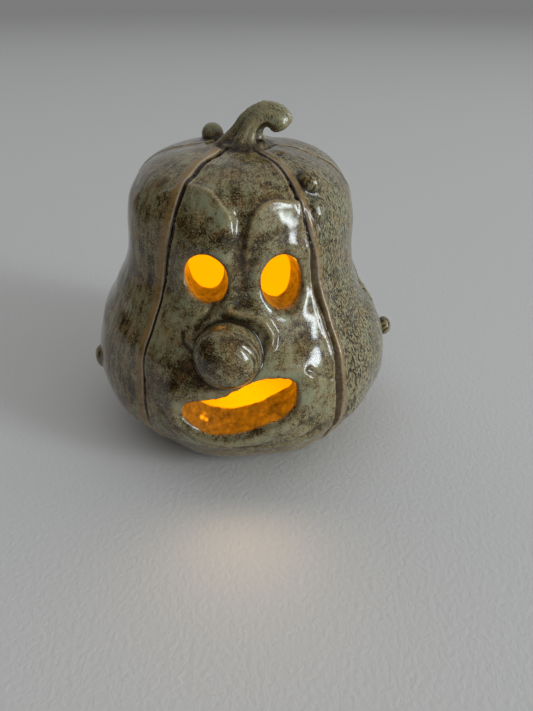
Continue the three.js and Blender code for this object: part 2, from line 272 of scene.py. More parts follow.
# Where the glaze pools paler or lies darker on the face, and painted shade under the nose: path in x and z,
# reach and tone
FACE_TONES_AND_SHADE = [
    {"path": [(-11, 91.5), (-5, 89)], "reach": 6, "tone": 0.42},
    {"path": [(-1.5, 88), (-0.5, 86)], "reach": 4, "tone": 0.3},
    {"path": [(6, 89), (16, 88.5)], "reach": 5, "tone": 0.3},
    {"path": [(4.6, 87), (3.6, 78)], "reach": 2.6, "tone": 0.3},
    {"path": [(1.2, 84), (1.2, 76), (0.2, 66)], "reach": 5, "tone": -0.22},
    {"path": [(-10, 82), (-4, 83)], "reach": 5, "tone": -0.2},
    {"path": [(-12, 98), (12, 98)], "reach": 12, "tone": -0.05},
    # Painted shade under the left side of the nose
    {"path": [(-16, 45), (-8, 43)], "reach": 6, "tone": -0.35},
    {"path": [(-21, 33), (-17, 28)], "reach": 5, "tone": -0.25},
    # Painted shade right under the nose
    {"path": [(-2.5, 43.6), (-2, 42.8)], "reach": 5, "tone": -0.2},
    {"path": [(-14, 22.5), (0, 21.5), (12, 25), (20, 36)], "reach": 4, "tone": 0.25},
    {"path": [(-21, 62), (-20, 48)], "reach": 9, "tone": 0.08},
    {"path": [(16, 58), (21, 48)], "reach": 7, "tone": 0.1},
    {"path": [(-3, 63), (6, 62)], "reach": 5, "tone": 0.12},
]

# Tones elsewhere: round the base, lifted as painted light bounced up from the floor; on the stem; and on the
# nose from its underside up
BASE_TONE_AND_BOUNCE = {"low": (7, 21), "tone": 0.2}
STEM_TONE = {"low": (100, 104), "tone": 0.6, "streak": 0.75}
NOSE_TONES = {"low": (-9.0, 1.0), "pale": 0.42, "dark": -0.1}
NOSE_EDGE = (1.12, 1.0)
WART_EDGE = (0.8, 0.2)

# Paint of the grooves: how far it reaches, how proud clay may stand to take it, the painted shade along the
# cut, and the tan lip
GROOVE_FAR = 9.0
GROOVE_PROUD = (4.5, 3.0)
WIDE_GROOVE = {"low": 0.8, "high": 1.1, "shift": 0.72, "narrower": 0.6}
CUT_SHADE = (1.15, 0.6)
CUT_FLOOR = (1.05, 0.8)
LIP_TAN = {"offset": 1.32, "reach": 1.4, "least": 0.35, "gain": 1.5}
THIN_EDGES = {"near": 0.25, "far": 0.2, "reach": 0.24, "share": 0.6}

# Painted shade as dark lines in the folds, at the seams of pressed-on clay and round the cuts, and the pale
# halo there
CREASE_SHADE = 0.7
SEAM_SHADES = {"stem": 1.3, "warts": 0.7, "nose": 0.8}
SEAM_REACH = 1.3
RIM_HALO = {"offset": 2.0, "reach": 1.8}
RIM_LINE = {"offset": 0.5, "reach": 0.45, "share": 0.5}

# Streaks by angle from the front, and the brushed crown
STREAK_TURN = [
    (-180, 0.5),
    (-110, 0.2),
    (-75, 0.05),
    (-38, 0),
    (36, 0.05),
    (44, 1.0),
    (120, 1.0),
    (180, 0.5),
]
STREAK_RADIUS = 45.0
BRUSHED_CROWN = {"low": (90, 97), "share": 0.45}

# Edges and ridges, measured against the distances blurred by this many voxels and passes
RIDGE_VOXELS = 1
RIDGE_PASSES = 2
RIDGE_SCALE = 0.14

# Depths at which the skin ends and the lit inner wall begins, deeper on the shaded side
SKIN_DEPTH = (2.2, 1.0)
CUT_EDGE = (1.3, 0.3)
INNER_DEPTH = (1.3, 2.0)
INNER_SHADE = {"side": (9, 18), "deeper": 0.6}
INNER_SHARE = 0.5
FOOT_RING = 0.9

# Painted glow of the light inside on the inner wall: the light's place, the levels, and small painted glints
# on the mouth's ledge
GLOW_LIGHT = (0.0, 0.0, 24.0)
GLOW_MIDDLE = (0.0, 0.0, 52.0)
GLOW_LEVELS = {"bounce": 0.38, "eyes": 0.6, "direct": 1.1, "inner": 0.6}
GLOW_REACH = 30
GLOW_EYE_HEIGHT = (48, 62)
GLOW_OPEN = {"base": 0.75, "gain": 0.5, "least": -0.5}
GLOW_MOST = 2.4
GLINTS = [
    {"place": (-11.6, -45.4, 27.7), "reach": 1.2, "level": 2.2},
    {"place": (-10.3, -45.9, 27.1), "reach": 1.1, "level": 1.8},
    {"place": (-11.0, -44.0, 27.7), "reach": 1.0, "level": 1.4},
    {"place": (10.3, -42.6, 33.3), "reach": 1.1, "level": 0.5},
    {"place": (12.8, -42.6, 35.3), "reach": 1.2, "level": 0.8},
    {"place": (14.9, -43.6, 37.6), "reach": 1.1, "level": 0.7},
]

# Noises of the finishes: grain size in millimetres and how it is broken up
NOISES = {
    "broad": {"size": 11.0, "detail": 4.0, "roughness": 0.6, "distortion": 0.6},
    "blotch": {"size": 5.5, "detail": 3.0, "roughness": 0.6, "distortion": 0.7},
    "patchy": {"size": 2.6, "detail": 6.0, "roughness": 0.74, "distortion": 0.9},
    "warm": {"size": 5.0, "detail": 5.0, "roughness": 0.75},
    "runs": {"size": 0.48, "detail": 3.0, "roughness": 0.7},
    "brush": {"size": 1.5, "detail": 5.0, "roughness": 0.62, "distortion": 0.5},
    "bands": {"size": 1.1, "detail": 4.0, "roughness": 0.7},
    "inner": {"size": 2.6, "detail": 5.0, "roughness": 0.7},
    "clay": {"size": 6.0},
    "paper": {"size": 1.6, "detail": 3.0},
    "specks": {"size": 5.0},
}
NOISE_OFFSETS = {"blotch": (11, 43, 29), "patchy": (31, 7, 53), "warm": (5, 61, 17), "inner": (31, 7, 53)}
STREAK_STRETCH = {"runs": 0.3, "brush": 0.13}
BAND_SCALE = (180, 180, 1400)
GLAZE_SPECKS = {"Speck Spacing": 3.0, "Speck Size": 0.12, "Grain Size": 0.4}
INNER_SPECKS = {"Speck Spacing": 2.6, "Speck Size": 0.12, "Grain Size": 1.1}
CLAY_SPECKS = {"Speck Spacing": 1.6, "Speck Size": 0.16, "Grain Size": 0.5}
SPECK_EDGE = (1.0, 0.6)
SPECK_SPREAD = 2.0
GRAIN_DETAIL = 2.0
SPECK_SHADE = 0.7
SPECK_COLOUR = (0.006, 0.005, 0.004, 1)

# Tone of the glaze, from dark to pale: where it starts and how far each cause moves it
TONE_START = 0.45
TONE_SWINGS = {
    "broad": 1.7,
    "blotch": 1.6,
    "patchy": 2.7,
    "grain": 2.5,
    "runs": 12.0,
    "brush": 3.2,
    "bands": 4.0,
}
TONE_LIFTS = {"rim": 0.24, "ridge": 0.2, "runs": 0.04, "brush": 0.12}
CALM = {"blotch": 0.3, "grain": 0.25, "pooled": (0.5, 0.95), "pooled_share": 0.5}
TONE_STOPS = {"dark": 0.05, "umber": 0.33, "olive": 0.62, "green": 1.0}
WARM_PATCH = {"brush": 0.9, "brush_from": 0.38, "runs_from": 0.48, "gain": 2.0}
MOSS_PATCH = {"from": 0.46, "gain": 2.4}
BAND_TAN = 0.7
FLOOR_PAINT = {"share": 0.7, "tan": 0.6}
EDGE_TAN = {"from": 0.3, "gain": 1.3, "off_stem": 0.8, "patches": (2.2, 0.7)}
LIP_PATCHES = (3.4, 0.85)
THIN_PATCHES = (1.9, 0.2)
# Where a hollow starts to take painted shade
HOLLOW_SHADE_FROM = 0.3

# Roughness and its unevenness, specular level, bump strength and bump depth in metres of each finish
GLAZE_FINISH = {"roughness": 0.1, "uneven": 0.14, "specular": 0.5, "bump": 0.14, "depth": 0.0002}
GLAZE_BUMP = {"grain": 0.3, "runs": 2.0}
INNER_FINISH = {"roughness": 0.2, "uneven": 0.2, "specular": 0.03, "bump": 0.5, "depth": 0.0003}
INNER_GRAIN = {"patches": 3.8, "specks": 0.9, "darker": 0.15, "lit_from": 1.3}
CLAY_FINISH = {"roughness": 0.72, "uneven": 0.2, "bump": 0.6, "depth": 0.0003}
PAPER_FINISH = {"roughness": 0.9, "bump": 0.35, "depth": 0.0006}
AMBER_LEVEL = {"grain": 0.8, "base": 0.6, "share": 0.5}
EMISSION = 2.0

# Camera: the focal length was fitted in pixels of a picture of this height
SENSOR = 36
FOCAL_PIXELS = 540
PHOTO_HEIGHT = 711
CLIP_START = 0.01

# Stage in metres: floor, lights, and a room that is pale behind the lantern and dim in front
FLOOR_HALF = 5.0
STAGE_MIDDLE = (0, 0, 0.05)
WINDOW = {
    "place": (1.74, -0.86, 0.62),
    "target": STAGE_MIDDLE,
    "size": (0.34, 1.2),
    "colour": (0.84, 0.94, 1.0),
}
CEILING = {
    "place": (0, -0.3, 2.2),
    "target": (0, -0.3, 0),
    "size": (4.0, 4.0),
    "colour": (0.95, 0.98, 1.02),
}
MOUTH_SPILL = {
    "place": (0.001, -0.062, 0.022),
    "target": (0.0, -0.11, 0.0),
    "size": (0.03, 0.008),
    "colour": (1.0, 0.7, 0.4),
}
SPILL_POWER = 0.003
FLAME = {"colour": (1.0, 0.32, 0.0), "radius": 0.006}
ROOM = {"front": (0.11, 0.108, 0.105), "back": (0.40, 0.412, 0.43), "turn": (-0.7, 0.5)}
BACKDROP = (0.2, 0.2, 0.2)

# The bright wall by the window and the dim side of the room: direction, soft edge and light
ROOM_SIDES = [
    {"towards": (0.88, -0.44, 0.16), "edge": (0.72, 0.96), "light": (1.15, 1.2, 1.26)},
    {"towards": (-0.97, -0.2, 0.12), "edge": (0.5, 0.85), "light": (0.03, 0.03, 0.03)},
]


class LanternShape(bpy.types.PropertyGroup):
    """Sizes of the clay body."""

    belly_radius: FloatProperty(
        name="Belly radius",
        description="Radius of the body at its widest, between the grooves",
        default=52 * MM,
        unit="LENGTH",
    )
    body_height: FloatProperty(
        name="Body height",
        description="From the table to the crown, without the stem",
        default=100.5 * MM,
        unit="LENGTH",
    )
    foot_wall: FloatProperty(
        name="Foot wall",
        description="Thickness of the wall at the open foot",
        default=8 * MM,
        unit="LENGTH",
    )
    belly_wall: FloatProperty(
        name="Belly wall",
        description="Thickness of the wall at the belly, seen at the cut mouth",
        default=11 * MM,
        unit="LENGTH",
    )
    crown_wall: FloatProperty(
        name="Crown wall",
        description="Thickness of the wall at the eyes and the crown",
        default=8 * MM,
        unit="LENGTH",
    )
    detail: FloatProperty(
        name="Detail",
        description="Edge length of the fused mesh's faces",
        default=0.5 * MM,
        unit="LENGTH",
    )


class LanternGlaze(bpy.types.PropertyGroup):
    """Colours of the glaze, the bare clay and the light inside."""

    # The darkest glaze, and also the colour of the painted shade in hollows, creases and cuts
    dark: FloatVectorProperty(
        name="Dark brown",
        description="Glaze where it lies thin over hollows",
        default=(0.02, 0.012, 0.0045),
        subtype="COLOR",
    )
    umber: FloatVectorProperty(
        name="Umber",
        description="Glaze between the dark and the olive patches",
        default=(0.078, 0.049, 0.0165),
        subtype="COLOR",
    )
    olive: FloatVectorProperty(
        name="Olive",
        description="Glaze of middle thickness",
        default=(0.172, 0.13, 0.056),
        subtype="COLOR",
    )
    green: FloatVectorProperty(
        name="Grey green",
        description="Glaze where it pools thickly",
        default=(0.255, 0.25, 0.145),
        subtype="COLOR",
    )
    tan: FloatVectorProperty(
        name="Tan",
        description="Glaze where it breaks over a raised lip",
        default=(0.29, 0.16, 0.052),
        subtype="COLOR",
    )
    moss: FloatVectorProperty(
        name="Moss",
        description="Greener patches of the glaze",
        default=(0.125, 0.132, 0.07),
        subtype="COLOR",
    )
    lip: FloatVectorProperty(
        name="Lip",
        description="Where the glaze breaks over the lip of a groove",
        default=(0.27, 0.155, 0.053),
        subtype="COLOR",
    )
    clay: FloatVectorProperty(
        name="Bare clay",
        description="Unglazed stoneware of the foot ring",
        default=(0.36, 0.29, 0.21),
        subtype="COLOR",
    )
    amber: FloatVectorProperty(
        name="Amber light",
        description="Colour of the inner wall as the light inside shows it",
        default=(1.0, 0.3, 0.0),
        subtype="COLOR",
    )


class LanternStage(bpy.types.PropertyGroup):
    """Camera, floor and lights."""

    camera_place: FloatVectorProperty(
        name="Camera place",
        description="Where the camera stands",
        default=(7.6 * MM, -173.1 * MM, 138.3 * MM),
        subtype="TRANSLATION",
        unit="LENGTH",
    )
    camera_pitch: FloatProperty(
        name="Camera pitch",
        description="How far the camera looks down",
        default=math.radians(34),
        subtype="ANGLE",
    )
    camera_lens: FloatProperty(
        name="Lens",
        description="Focal length in millimetres, on the sensor's longer side",
        default=SENSOR * FOCAL_PIXELS / PHOTO_HEIGHT,
    )
    floor_colour: FloatVectorProperty(
        name="Floor",
        description="Colour of the paper floor",
        default=(0.57, 0.555, 0.53),
        subtype="COLOR",
    )
    window_power: FloatProperty(
        name="Window power",
        description="Strength of the tall light at the right",
        default=24.0,
        unit="POWER",
    )
    fill_power: FloatProperty(
        name="Fill power",
        description="Strength of the wide light overhead",
        default=22.0,
        unit="POWER",
    )
    glow_power: FloatProperty(
        name="Glow power",
        description="Strength of the small light inside",
        default=0.045,
        unit="POWER",
    )


class Field:
    """A value in a node tree. Arithmetic on it adds Math nodes to the tree."""

    def __init__(self, tree, socket):
        self.tree = tree
        self.socket = socket

    def math(self, operation, *others, clamp=False):
        node = self.tree.nodes.new("ShaderNodeMath")
        node.operation = operation
        node.use_clamp = clamp
        for socket, value in zip(node.inputs, (self, *others)):
            feed(self.tree, socket, value)
        return Field(self.tree, node.outputs[0])

    def __add__(self, other):
        return self.math("ADD", other)

    def __sub__(self, other):
        return self.math("SUBTRACT", other)

    def __mul__(self, other):
        return self.math("MULTIPLY", other)

    def __truediv__(self, other):
        return self.math("DIVIDE", other)

    def clipped(self):
        return self.math("ADD", 0.0, clamp=True)

    def eased(self, low, high, start=0.0, end=1.0):
        """A smooth step from start to end as the value goes from low to high."""
        values = {"Value": self, "From Min": low, "From Max": high, "To Min": start, "To Max": end}
        return node_out(self.tree, "ShaderNodeMapRange", values, interpolation_type="SMOOTHSTEP")

    def bell(self, reach):
        """A bell curve, 1 at zero."""
        share = self / reach
        return (share * share * -1.0).math("EXPONENT")

    def about(self, weight):
        """A noise swinging about zero by its weight."""
        return (self - 0.5) * weight

    def flipped(self, share=1.0):
        """One less a share of the value."""
        return self * -share + 1.0


def feed(tree, socket, value):
    """Links a field or a socket into a socket, or sets a plain value on it."""
    if isinstance(value, Field):
        tree.links.new(value.socket, socket)
    elif isinstance(value, bpy.types.NodeSocket):
        tree.links.new(value, socket)
    else:
        socket.default_value = value


def add_node(tree, kind, values=None, **settings):
    node = tree.nodes.new(kind)
    for name, value in settings.items():
        setattr(node, name, value)
    for key, value in (values or {}).items():
        feed(tree, node.inputs[key], value)
    return node


def node_out(tree, kind, values=None, output=0, **settings):
    return Field(tree, add_node(tree, kind, values, **settings).outputs[output])


def new_tree(name, kind, inputs, outputs):
    """A node group with named sockets: the tree, its inputs as fields, and its output node."""
    tree = bpy.data.node_groups.new(name, kind)
    for socket, (socket_kind, default) in inputs.items():
        made = tree.interface.new_socket(name=socket, in_out="INPUT", socket_type=socket_kind)
        if default is not None:
            made.default_value = default
    for socket, socket_kind in outputs.items():
        tree.interface.new_socket(name=socket, in_out="OUTPUT", socket_type=socket_kind)
    entry = tree.nodes.new("NodeGroupInput")
    fields = {socket.name: Field(tree, socket) for socket in entry.outputs if socket.name}
    return tree, fields, tree.nodes.new("NodeGroupOutput")


def curve_node(tree, value, points, corners=()):
    """A float curve through points from 0 to 1, smooth but at its corners."""
    node = add_node(tree, "ShaderNodeFloatCurve", {"Value": value})
    node.mapping.use_clip = False
    curve = node.mapping.curves[0]
    while len(curve.points) < len(points):
        curve.points.new(0.5, 0.5)
    for index, place in enumerate(points):
        curve.points[index].location = place
        curve.points[index].handle_type = "VECTOR" if index in corners else "AUTO"
    node.mapping.update()
    return Field(tree, node.outputs[0])


def groove_tree():
    """The relief of one groove: swelling beside it, the cut line and the raised lip."""
    floats = ["Turn", "Share", "Radius", *[name.title() for name in GROOVES[0]], *GROOVE_SIZES]
    inputs = {name: ("NodeSocketFloat", 0.0) for name in floats}
    tree, given, out = new_tree("Groove relief", "GeometryNodeTree", inputs, {"Relief": "NodeSocketFloat"})
    eased = given["Share"].eased(given["Start"], given["End"])
    line = given["Low"] + (given["Top"] - given["Low"]) * eased
    apart = (given["Turn"] - line).math("WRAP", 180.0, -180.0)
    across = apart.math("RADIANS") * given["Radius"]
    flared = given["Share"].eased(given["Widen"] - GROOVE_FLARE, given["Widen"] + GROOVE_FLARE)
    width = given["Width"] * (flared * given["Flare"] + 1.0)
    lipped = across * given["Lip"]
    away = across.math("ABSOLUTE")
    pillow = across.bell(given["Pillow Reach"]) * given["Pillow Depth"]
    slanted = ((lipped / width).math("MINIMUM", 1.0) * given["Slant"] * -1.0 + 1.0) * given["Depth"]
    cut = away.eased(width * given["Floor"], width, 1.0, 0.0) * slanted
    edge = (away - width - given["Edge Reach"]).bell(given["Edge Reach"]) * given["Edge Rise"]
    band = given["Band"]
    lip = (lipped - given["Lip Offset"] * band).bell(given["Lip Reach"] * band) * given["Lip Rise"] * band
    feed(tree, out.inputs["Relief"], lip + edge - pillow - cut)
    return tree


def gourd_tree():
    """The lobed gourd: a grid turned round the profile, then moved out by the grooves' relief."""
    inputs = {
        "Belly Radius": ("NodeSocketFloat", 52.0),
        "Body Height": ("NodeSocketFloat", 100.0),
        "Columns": ("NodeSocketInt", 64),
        "Rows": ("NodeSocketInt", 64),
        "Material": ("NodeSocketMaterial", None),
        **{name: ("NodeSocketFloat", value) for name, value in GROOVE_SIZES.items()},
    }
    tree, given, out = new_tree("Lobed gourd", "GeometryNodeTree", inputs, {"Geometry": "NodeSocketGeometry"})
    grid = add_node(
        tree,
        "GeometryNodeMeshGrid",
        {"Size X": 1.0, "Size Y": 1.0, "Vertices X": given["Columns"], "Vertices Y": given["Rows"]},
    )
    place = add_node(tree, "ShaderNodeSeparateXYZ", {0: node_out(tree, "GeometryNodeInputPosition")})
    along = Field(tree, place.outputs["Y"]) + 0.5
    spin = (Field(tree, place.outputs["X"]) + 0.5) * math.tau
    steps = np.hypot(*np.diff(np.array(PROFILE), axis=0).T)
    shares = np.concatenate([[0], np.cumsum(steps)]) / steps.sum()
    radius = curve_node(tree, along, list(zip(shares, [r for r, _ in PROFILE])), PROFILE_CORNERS)
    height = curve_node(tree, along, list(zip(shares, [h for _, h in PROFILE])), PROFILE_CORNERS)
    mesh = Field(tree, grid.outputs["Mesh"])
    sizes = {"radius": radius * given["Belly Radius"], "height": height * given["Body Height"]}
    for name, value in sizes.items():
        values = {"Geometry": mesh, "Name": name, "Value": value}
        mesh = node_out(tree, "GeometryNodeStoreNamedAttribute", values, data_type="FLOAT", domain="POINT")
    stored = {
        name: node_out(tree, "GeometryNodeInputNamedAttribute", {"Name": name}, data_type="FLOAT")
        for name in sizes
    }
    turned = {
        "X": stored["radius"] * spin.math("SINE"),
        "Y": stored["radius"] * spin.math("COSINE") * -1.0,
        "Z": stored["height"],
    }
    turned = node_out(tree, "ShaderNodeCombineXYZ", turned)
    mesh = node_out(tree, "GeometryNodeSetPosition", {"Geometry": mesh, "Position": turned})
    mesh = node_out(tree, "GeometryNodeMergeByDistance", {"Geometry": mesh, "Distance": MERGE_DISTANCE})

    # The relief reads the turned place back, so that the seam and the poles stay closed
    place = add_node(tree, "ShaderNodeSeparateXYZ", {0: node_out(tree, "GeometryNodeInputPosition")})
    turn = Field(tree, place.outputs["X"]).math("ARCTAN2", Field(tree, place.outputs["Y"]) * -1.0)
    turn = turn.math("DEGREES")
    relief = None
    group = groove_tree()
    for groove in GROOVES:
        node = add_node(tree, "GeometryNodeGroup", node_tree=group)
        values = {
            "Turn": turn,
            "Share": stored["height"] / given["Body Height"],
            "Radius": stored["radius"],
            **{name.title(): float(value) for name, value in groove.items()},
            **{name: given[name] for name in GROOVE_SIZES},
        }
        for name, value in values.items():
            feed(tree, node.inputs[name], value)
        one = Field(tree, node.outputs["Relief"])
        relief = one if relief is None else relief + one
    relief = relief * stored["radius"].eased(*GROOVE_FADE)
    normal = add_node(tree, "ShaderNodeSeparateXYZ", {0: node_out(tree, "GeometryNodeInputNormal")})
    rising = stored["height"].eased(0.0, FOOT_FADE)
    offset = {
        "X": Field(tree, normal.outputs["X"]) * relief,
        "Y": Field(tree, normal.outputs["Y"]) * relief,
        "Z": Field(tree, normal.outputs["Z"]) * relief * rising,
    }
    offset = node_out(tree, "ShaderNodeCombineXYZ", offset)
    mesh = node_out(tree, "GeometryNodeSetPosition", {"Geometry": mesh, "Offset": offset})
    finish_tree(tree, mesh, given["Material"], out)
    return tree


def finish_tree(tree, mesh, material, out):
    """Every tree ends in real geometry with its material."""
    mesh = node_out(tree, "GeometryNodeRealizeInstances", {"Geometry": mesh})
    mesh = node_out(tree, "GeometryNodeSetMaterial", {"Geometry": mesh, "Material": material})
    feed(tree, out.inputs["Geometry"], mesh)


def stem_tree():
    """A tube along the stem's path, its radius taken from the points and its tip rounded off."""
    inputs = {
        "Geometry": ("NodeSocketGeometry", None),
        "Steps": ("NodeSocketInt", STEM_STEPS),
        "Sides": ("NodeSocketInt", STEM_SIDES),
        "Tip Share": ("NodeSocketFloat", STEM_TIP["share"]),
        "Tip Rounding": ("NodeSocketFloat", STEM_TIP["rounding"]),
        "Fold Depth": ("NodeSocketFloat", STEM_FOLDS["depth"]),
        "Fold Size": ("NodeSocketFloat", STEM_FOLDS["size"]),
        "Fold Seed": ("NodeSocketFloat", STEM_FOLDS["seed"]),
        "Material": ("NodeSocketMaterial", None),
    }
    tree, given, out = new_tree("Bent stem", "GeometryNodeTree", inputs, {"Geometry": "NodeSocketGeometry"})
    curve = node_out(tree, "GeometryNodeMeshToCurve", {"Mesh": given["Geometry"]})
    curve = node_out(tree, "GeometryNodeCurveSplineType", {"Curve": curve}, spline_type="CATMULL_ROM")
    curve = node_out(tree, "GeometryNodeResampleCurve", {"Curve": curve, "Count": given["Steps"]})
    factor = node_out(tree, "GeometryNodeSplineParameter")
    tip = ((factor - 1.0) / given["Tip Share"] + 1.0).clipped()
    rounding = ((tip * tip * given["Tip Rounding"] * -1.0) + 1.0).math("SQRT")
    radius = node_out(tree, "GeometryNodeInputRadius") * rounding
    ring = node_out(tree, "GeometryNodeCurvePrimitiveCircle", {"Resolution": given["Sides"], "Radius": 1.0})
    where = node_out(tree, "GeometryNodeInputPosition")
    spots = {"Vector": where, "W": given["Fold Seed"], "Scale": given["Fold Size"].math("POWER", -1.0)}
    folds = node_out(tree, "ShaderNodeTexNoise", spots, noise_dimensions="4D")
    inward = {0: where, "Scale": (folds - 0.5) * given["Fold Depth"] * STEM_FOLD_GAIN}
    inward = node_out(tree, "ShaderNodeVectorMath", inward, operation="SCALE")
    ring = node_out(tree, "GeometryNodeSetPosition", {"Geometry": ring, "Offset": inward})
    values = {"Curve": curve, "Profile Curve": ring, "Scale": radius, "Fill Caps": True}
    mesh = node_out(tree, "GeometryNodeCurveToMesh", values)
    finish_tree(tree, mesh, given["Material"], out)
    return tree


def wart_tree():
    """A flattened ball on every point, standing along the point's outward direction."""
    inputs = {
        "Geometry": ("NodeSocketGeometry", None),
        "Segments": ("NodeSocketInt", BALL_SEGMENTS),
        "Rings": ("NodeSocketInt", BALL_RINGS),
        "Material": ("NodeSocketMaterial", None),
    }
    tree, given, out = new_tree("Clay warts", "GeometryNodeTree", inputs, {"Geometry": "NodeSocketGeometry"})
    values = {"Segments": given["Segments"], "Rings": given["Rings"], "Radius": 1.0}
    ball = node_out(tree, "GeometryNodeMeshUVSphere", values)
    read = {
        name: node_out(tree, "GeometryNodeInputNamedAttribute", {"Name": name}, data_type=kind)
        for name, kind in {"outward": "FLOAT_VECTOR", "size": "FLOAT_VECTOR"}.items()
    }
    turn = node_out(tree, "FunctionNodeAlignRotationToVector", {"Vector": read["outward"]}, axis="Z")
    values = {"Points": given["Geometry"], "Instance": ball, "Rotation": turn, "Scale": read["size"]}
    mesh = node_out(tree, "GeometryNodeInstanceOnPoints", values)
    finish_tree(tree, mesh, given["Material"], out)
    return tree


def grown_mesh(name, tree, values, base=None):
    """Runs a Geometry Nodes tree on a scratch object and returns the result as a plain mesh."""
    holder = bpy.data.objects.new(name, base or bpy.data.meshes.new(name))
    bpy.context.scene.collection.objects.link(holder)
    modifier = holder.modifiers.new(name, "NODES")
    modifier.node_group = tree
    for item in tree.interface.items_tree:
        if item.in_out == "INPUT" and item.name in values:
            modifier[item.identifier] = values[item.name]
    depsgraph = bpy.context.evaluated_depsgraph_get()
    mesh = bpy.data.meshes.new_from_object(holder.evaluated_get(depsgraph), depsgraph=depsgraph)
    scratch = holder.data
    bpy.data.objects.remove(holder)
    bpy.data.meshes.remove(scratch)
    if not mesh.polygons:
        raise RuntimeError(f"{name}: its tree made no faces")
    return mesh


def read_array(items, name, width, kind=np.float64):
    values = np.empty(len(items) * width, np.float32 if kind is np.float64 else kind)
    items.foreach_get(name, values)
    return values.reshape(-1, width).astype(kind) if width > 1 else values.astype(kind)


def points_mesh(name, points, edges=(), **attributes):
    """A mesh of bare points, with a float or vector attribute for each name given."""
    mesh = bpy.data.meshes.new(name)
    mesh.from_pydata([tuple(point) for point in points], list(edges), [])
    for key, values in attributes.items():
        values = np.array(values, np.float32)
        kind, slot = ("FLOAT_VECTOR", "vector") if values.ndim > 1 else ("FLOAT", "value")
        mesh.attributes.new(key, kind, "POINT").data.foreach_set(slot, values.ravel())
    return mesh


def smoothstep(value, low, high):
    share = np.clip((value - low) / (high - low), 0, 1)
    return share * share * (3 - 2 * share)


def hump(distance, reach):
    share = np.minimum(1, np.abs(distance) / reach)
    return (1 - share * share) ** 2


def bell(distance, reach):
    return np.exp(-((distance / reach) ** 2))


def turn_between(start, end):
    """Signed difference of two angles in degrees, from -180 to 180."""
    return (end - start + 180) % 360 - 180


def distance_to_path(x, z, path):
    """Shortest distance from each point to a path of straight stretches."""
    nearest = np.full(np.broadcast(x, z).shape, np.inf)
    for (ax, az), (bx, bz) in zip(path, path[1:]):
        run, climb = bx - ax, bz - az
        along = np.clip(((x - ax) * run + (z - az) * climb) / (run**2 + climb**2), 0, 1)
        nearest = np.minimum(nearest, np.hypot(x - ax - along * run, z - az - along * climb))
    return nearest


def inside_outline(x, z, outline):
    """True where a point is inside a closed outline, by counting crossings."""
    inside = np.zeros(np.broadcast(x, z).shape, bool)
    for (ax, az), (bx, bz) in zip(outline, outline[1:]):
        crossing = (az > z) != (bz > z)
        inside ^= crossing & (x < ax + (z - az) * (bx - ax) / (bz - az + 1e-9))
    return inside


def smooth_path(points, steps, closed=False):
    """Points on a Catmull-Rom curve through given points."""
    points = np.array(points, float)
    if closed:
        points = np.vstack([points[-1:], points, points[:2]])
    else:
        points = np.vstack([2 * points[0] - points[1], points, 2 * points[-1] - points[-2]])
    t = np.arange(steps)[:, None] / steps
    stretches = []
    for a, b, c, d in zip(points, points[1:], points[2:], points[3:]):
        bend = 2 * a - 5 * b + 4 * c - d
        twist = 3 * b - a - 3 * c + d
        stretches.append(0.5 * (2 * b + (c - a) * t + bend * t**2 + twist * t**3))
    return np.vstack([*stretches, points[-2:-1]])


def waves(points, length, seed, count=16):
    """A smooth random field about zero: plane waves of like length in random directions."""
    draw = np.random.default_rng(seed)
    directions = draw.normal(size=(count, 3))
    directions /= np.linalg.norm(directions, axis=1, keepdims=True)
    lengths = length * draw.uniform(*WAVE_SPREAD, count)
    phases = draw.uniform(0, math.tau, count)
    steps = points @ (directions / lengths[:, None]).T * math.tau
    return np.cos(steps + phases).sum(1) / math.sqrt(count / 2)


MOUTH_OUTLINE = smooth_path(MOUTH, MOUTH_STEPS, closed=True)


class Clay:
    """Sizes of the body in millimetres, and the profile worked out from them."""

    def __init__(self, shape):
        self.belly = shape.belly_radius / MM
        self.height = shape.body_height / MM
        self.foot_wall = shape.foot_wall / MM
        self.belly_wall = shape.belly_wall / MM
        self.crown_wall = shape.crown_wall / MM
        self.voxel = shape.detail / MM * 1
        outer = smooth_path(PROFILE[1:], PROFILE_STEPS) * (self.belly, self.height)
        slope = np.gradient(outer, axis=0)
        slope /= np.linalg.norm(slope, axis=1, keepdims=True)
        self.outer = outer
        self.normals = np.stack([slope[:, 1], -slope[:, 0]], axis=1)

    def radius_at(self, height):
        return np.interp(height, self.outer[:, 1], self.outer[:, 0])

    def normal_at(self, height):
        return np.array([np.interp(height, self.outer[:, 1], self.normals[:, k]) for k in (0, 1)])

    def wall_at(self, height):
        share = np.clip(height / self.height, 0, 1)
        to_belly, to_crown = (smoothstep(share, *WALL_SHARES[part]) for part in ("belly", "crown"))
        from_foot = self.foot_wall + (self.belly_wall - self.foot_wall) * to_belly
        return from_foot + (self.crown_wall - from_foot) * to_crown


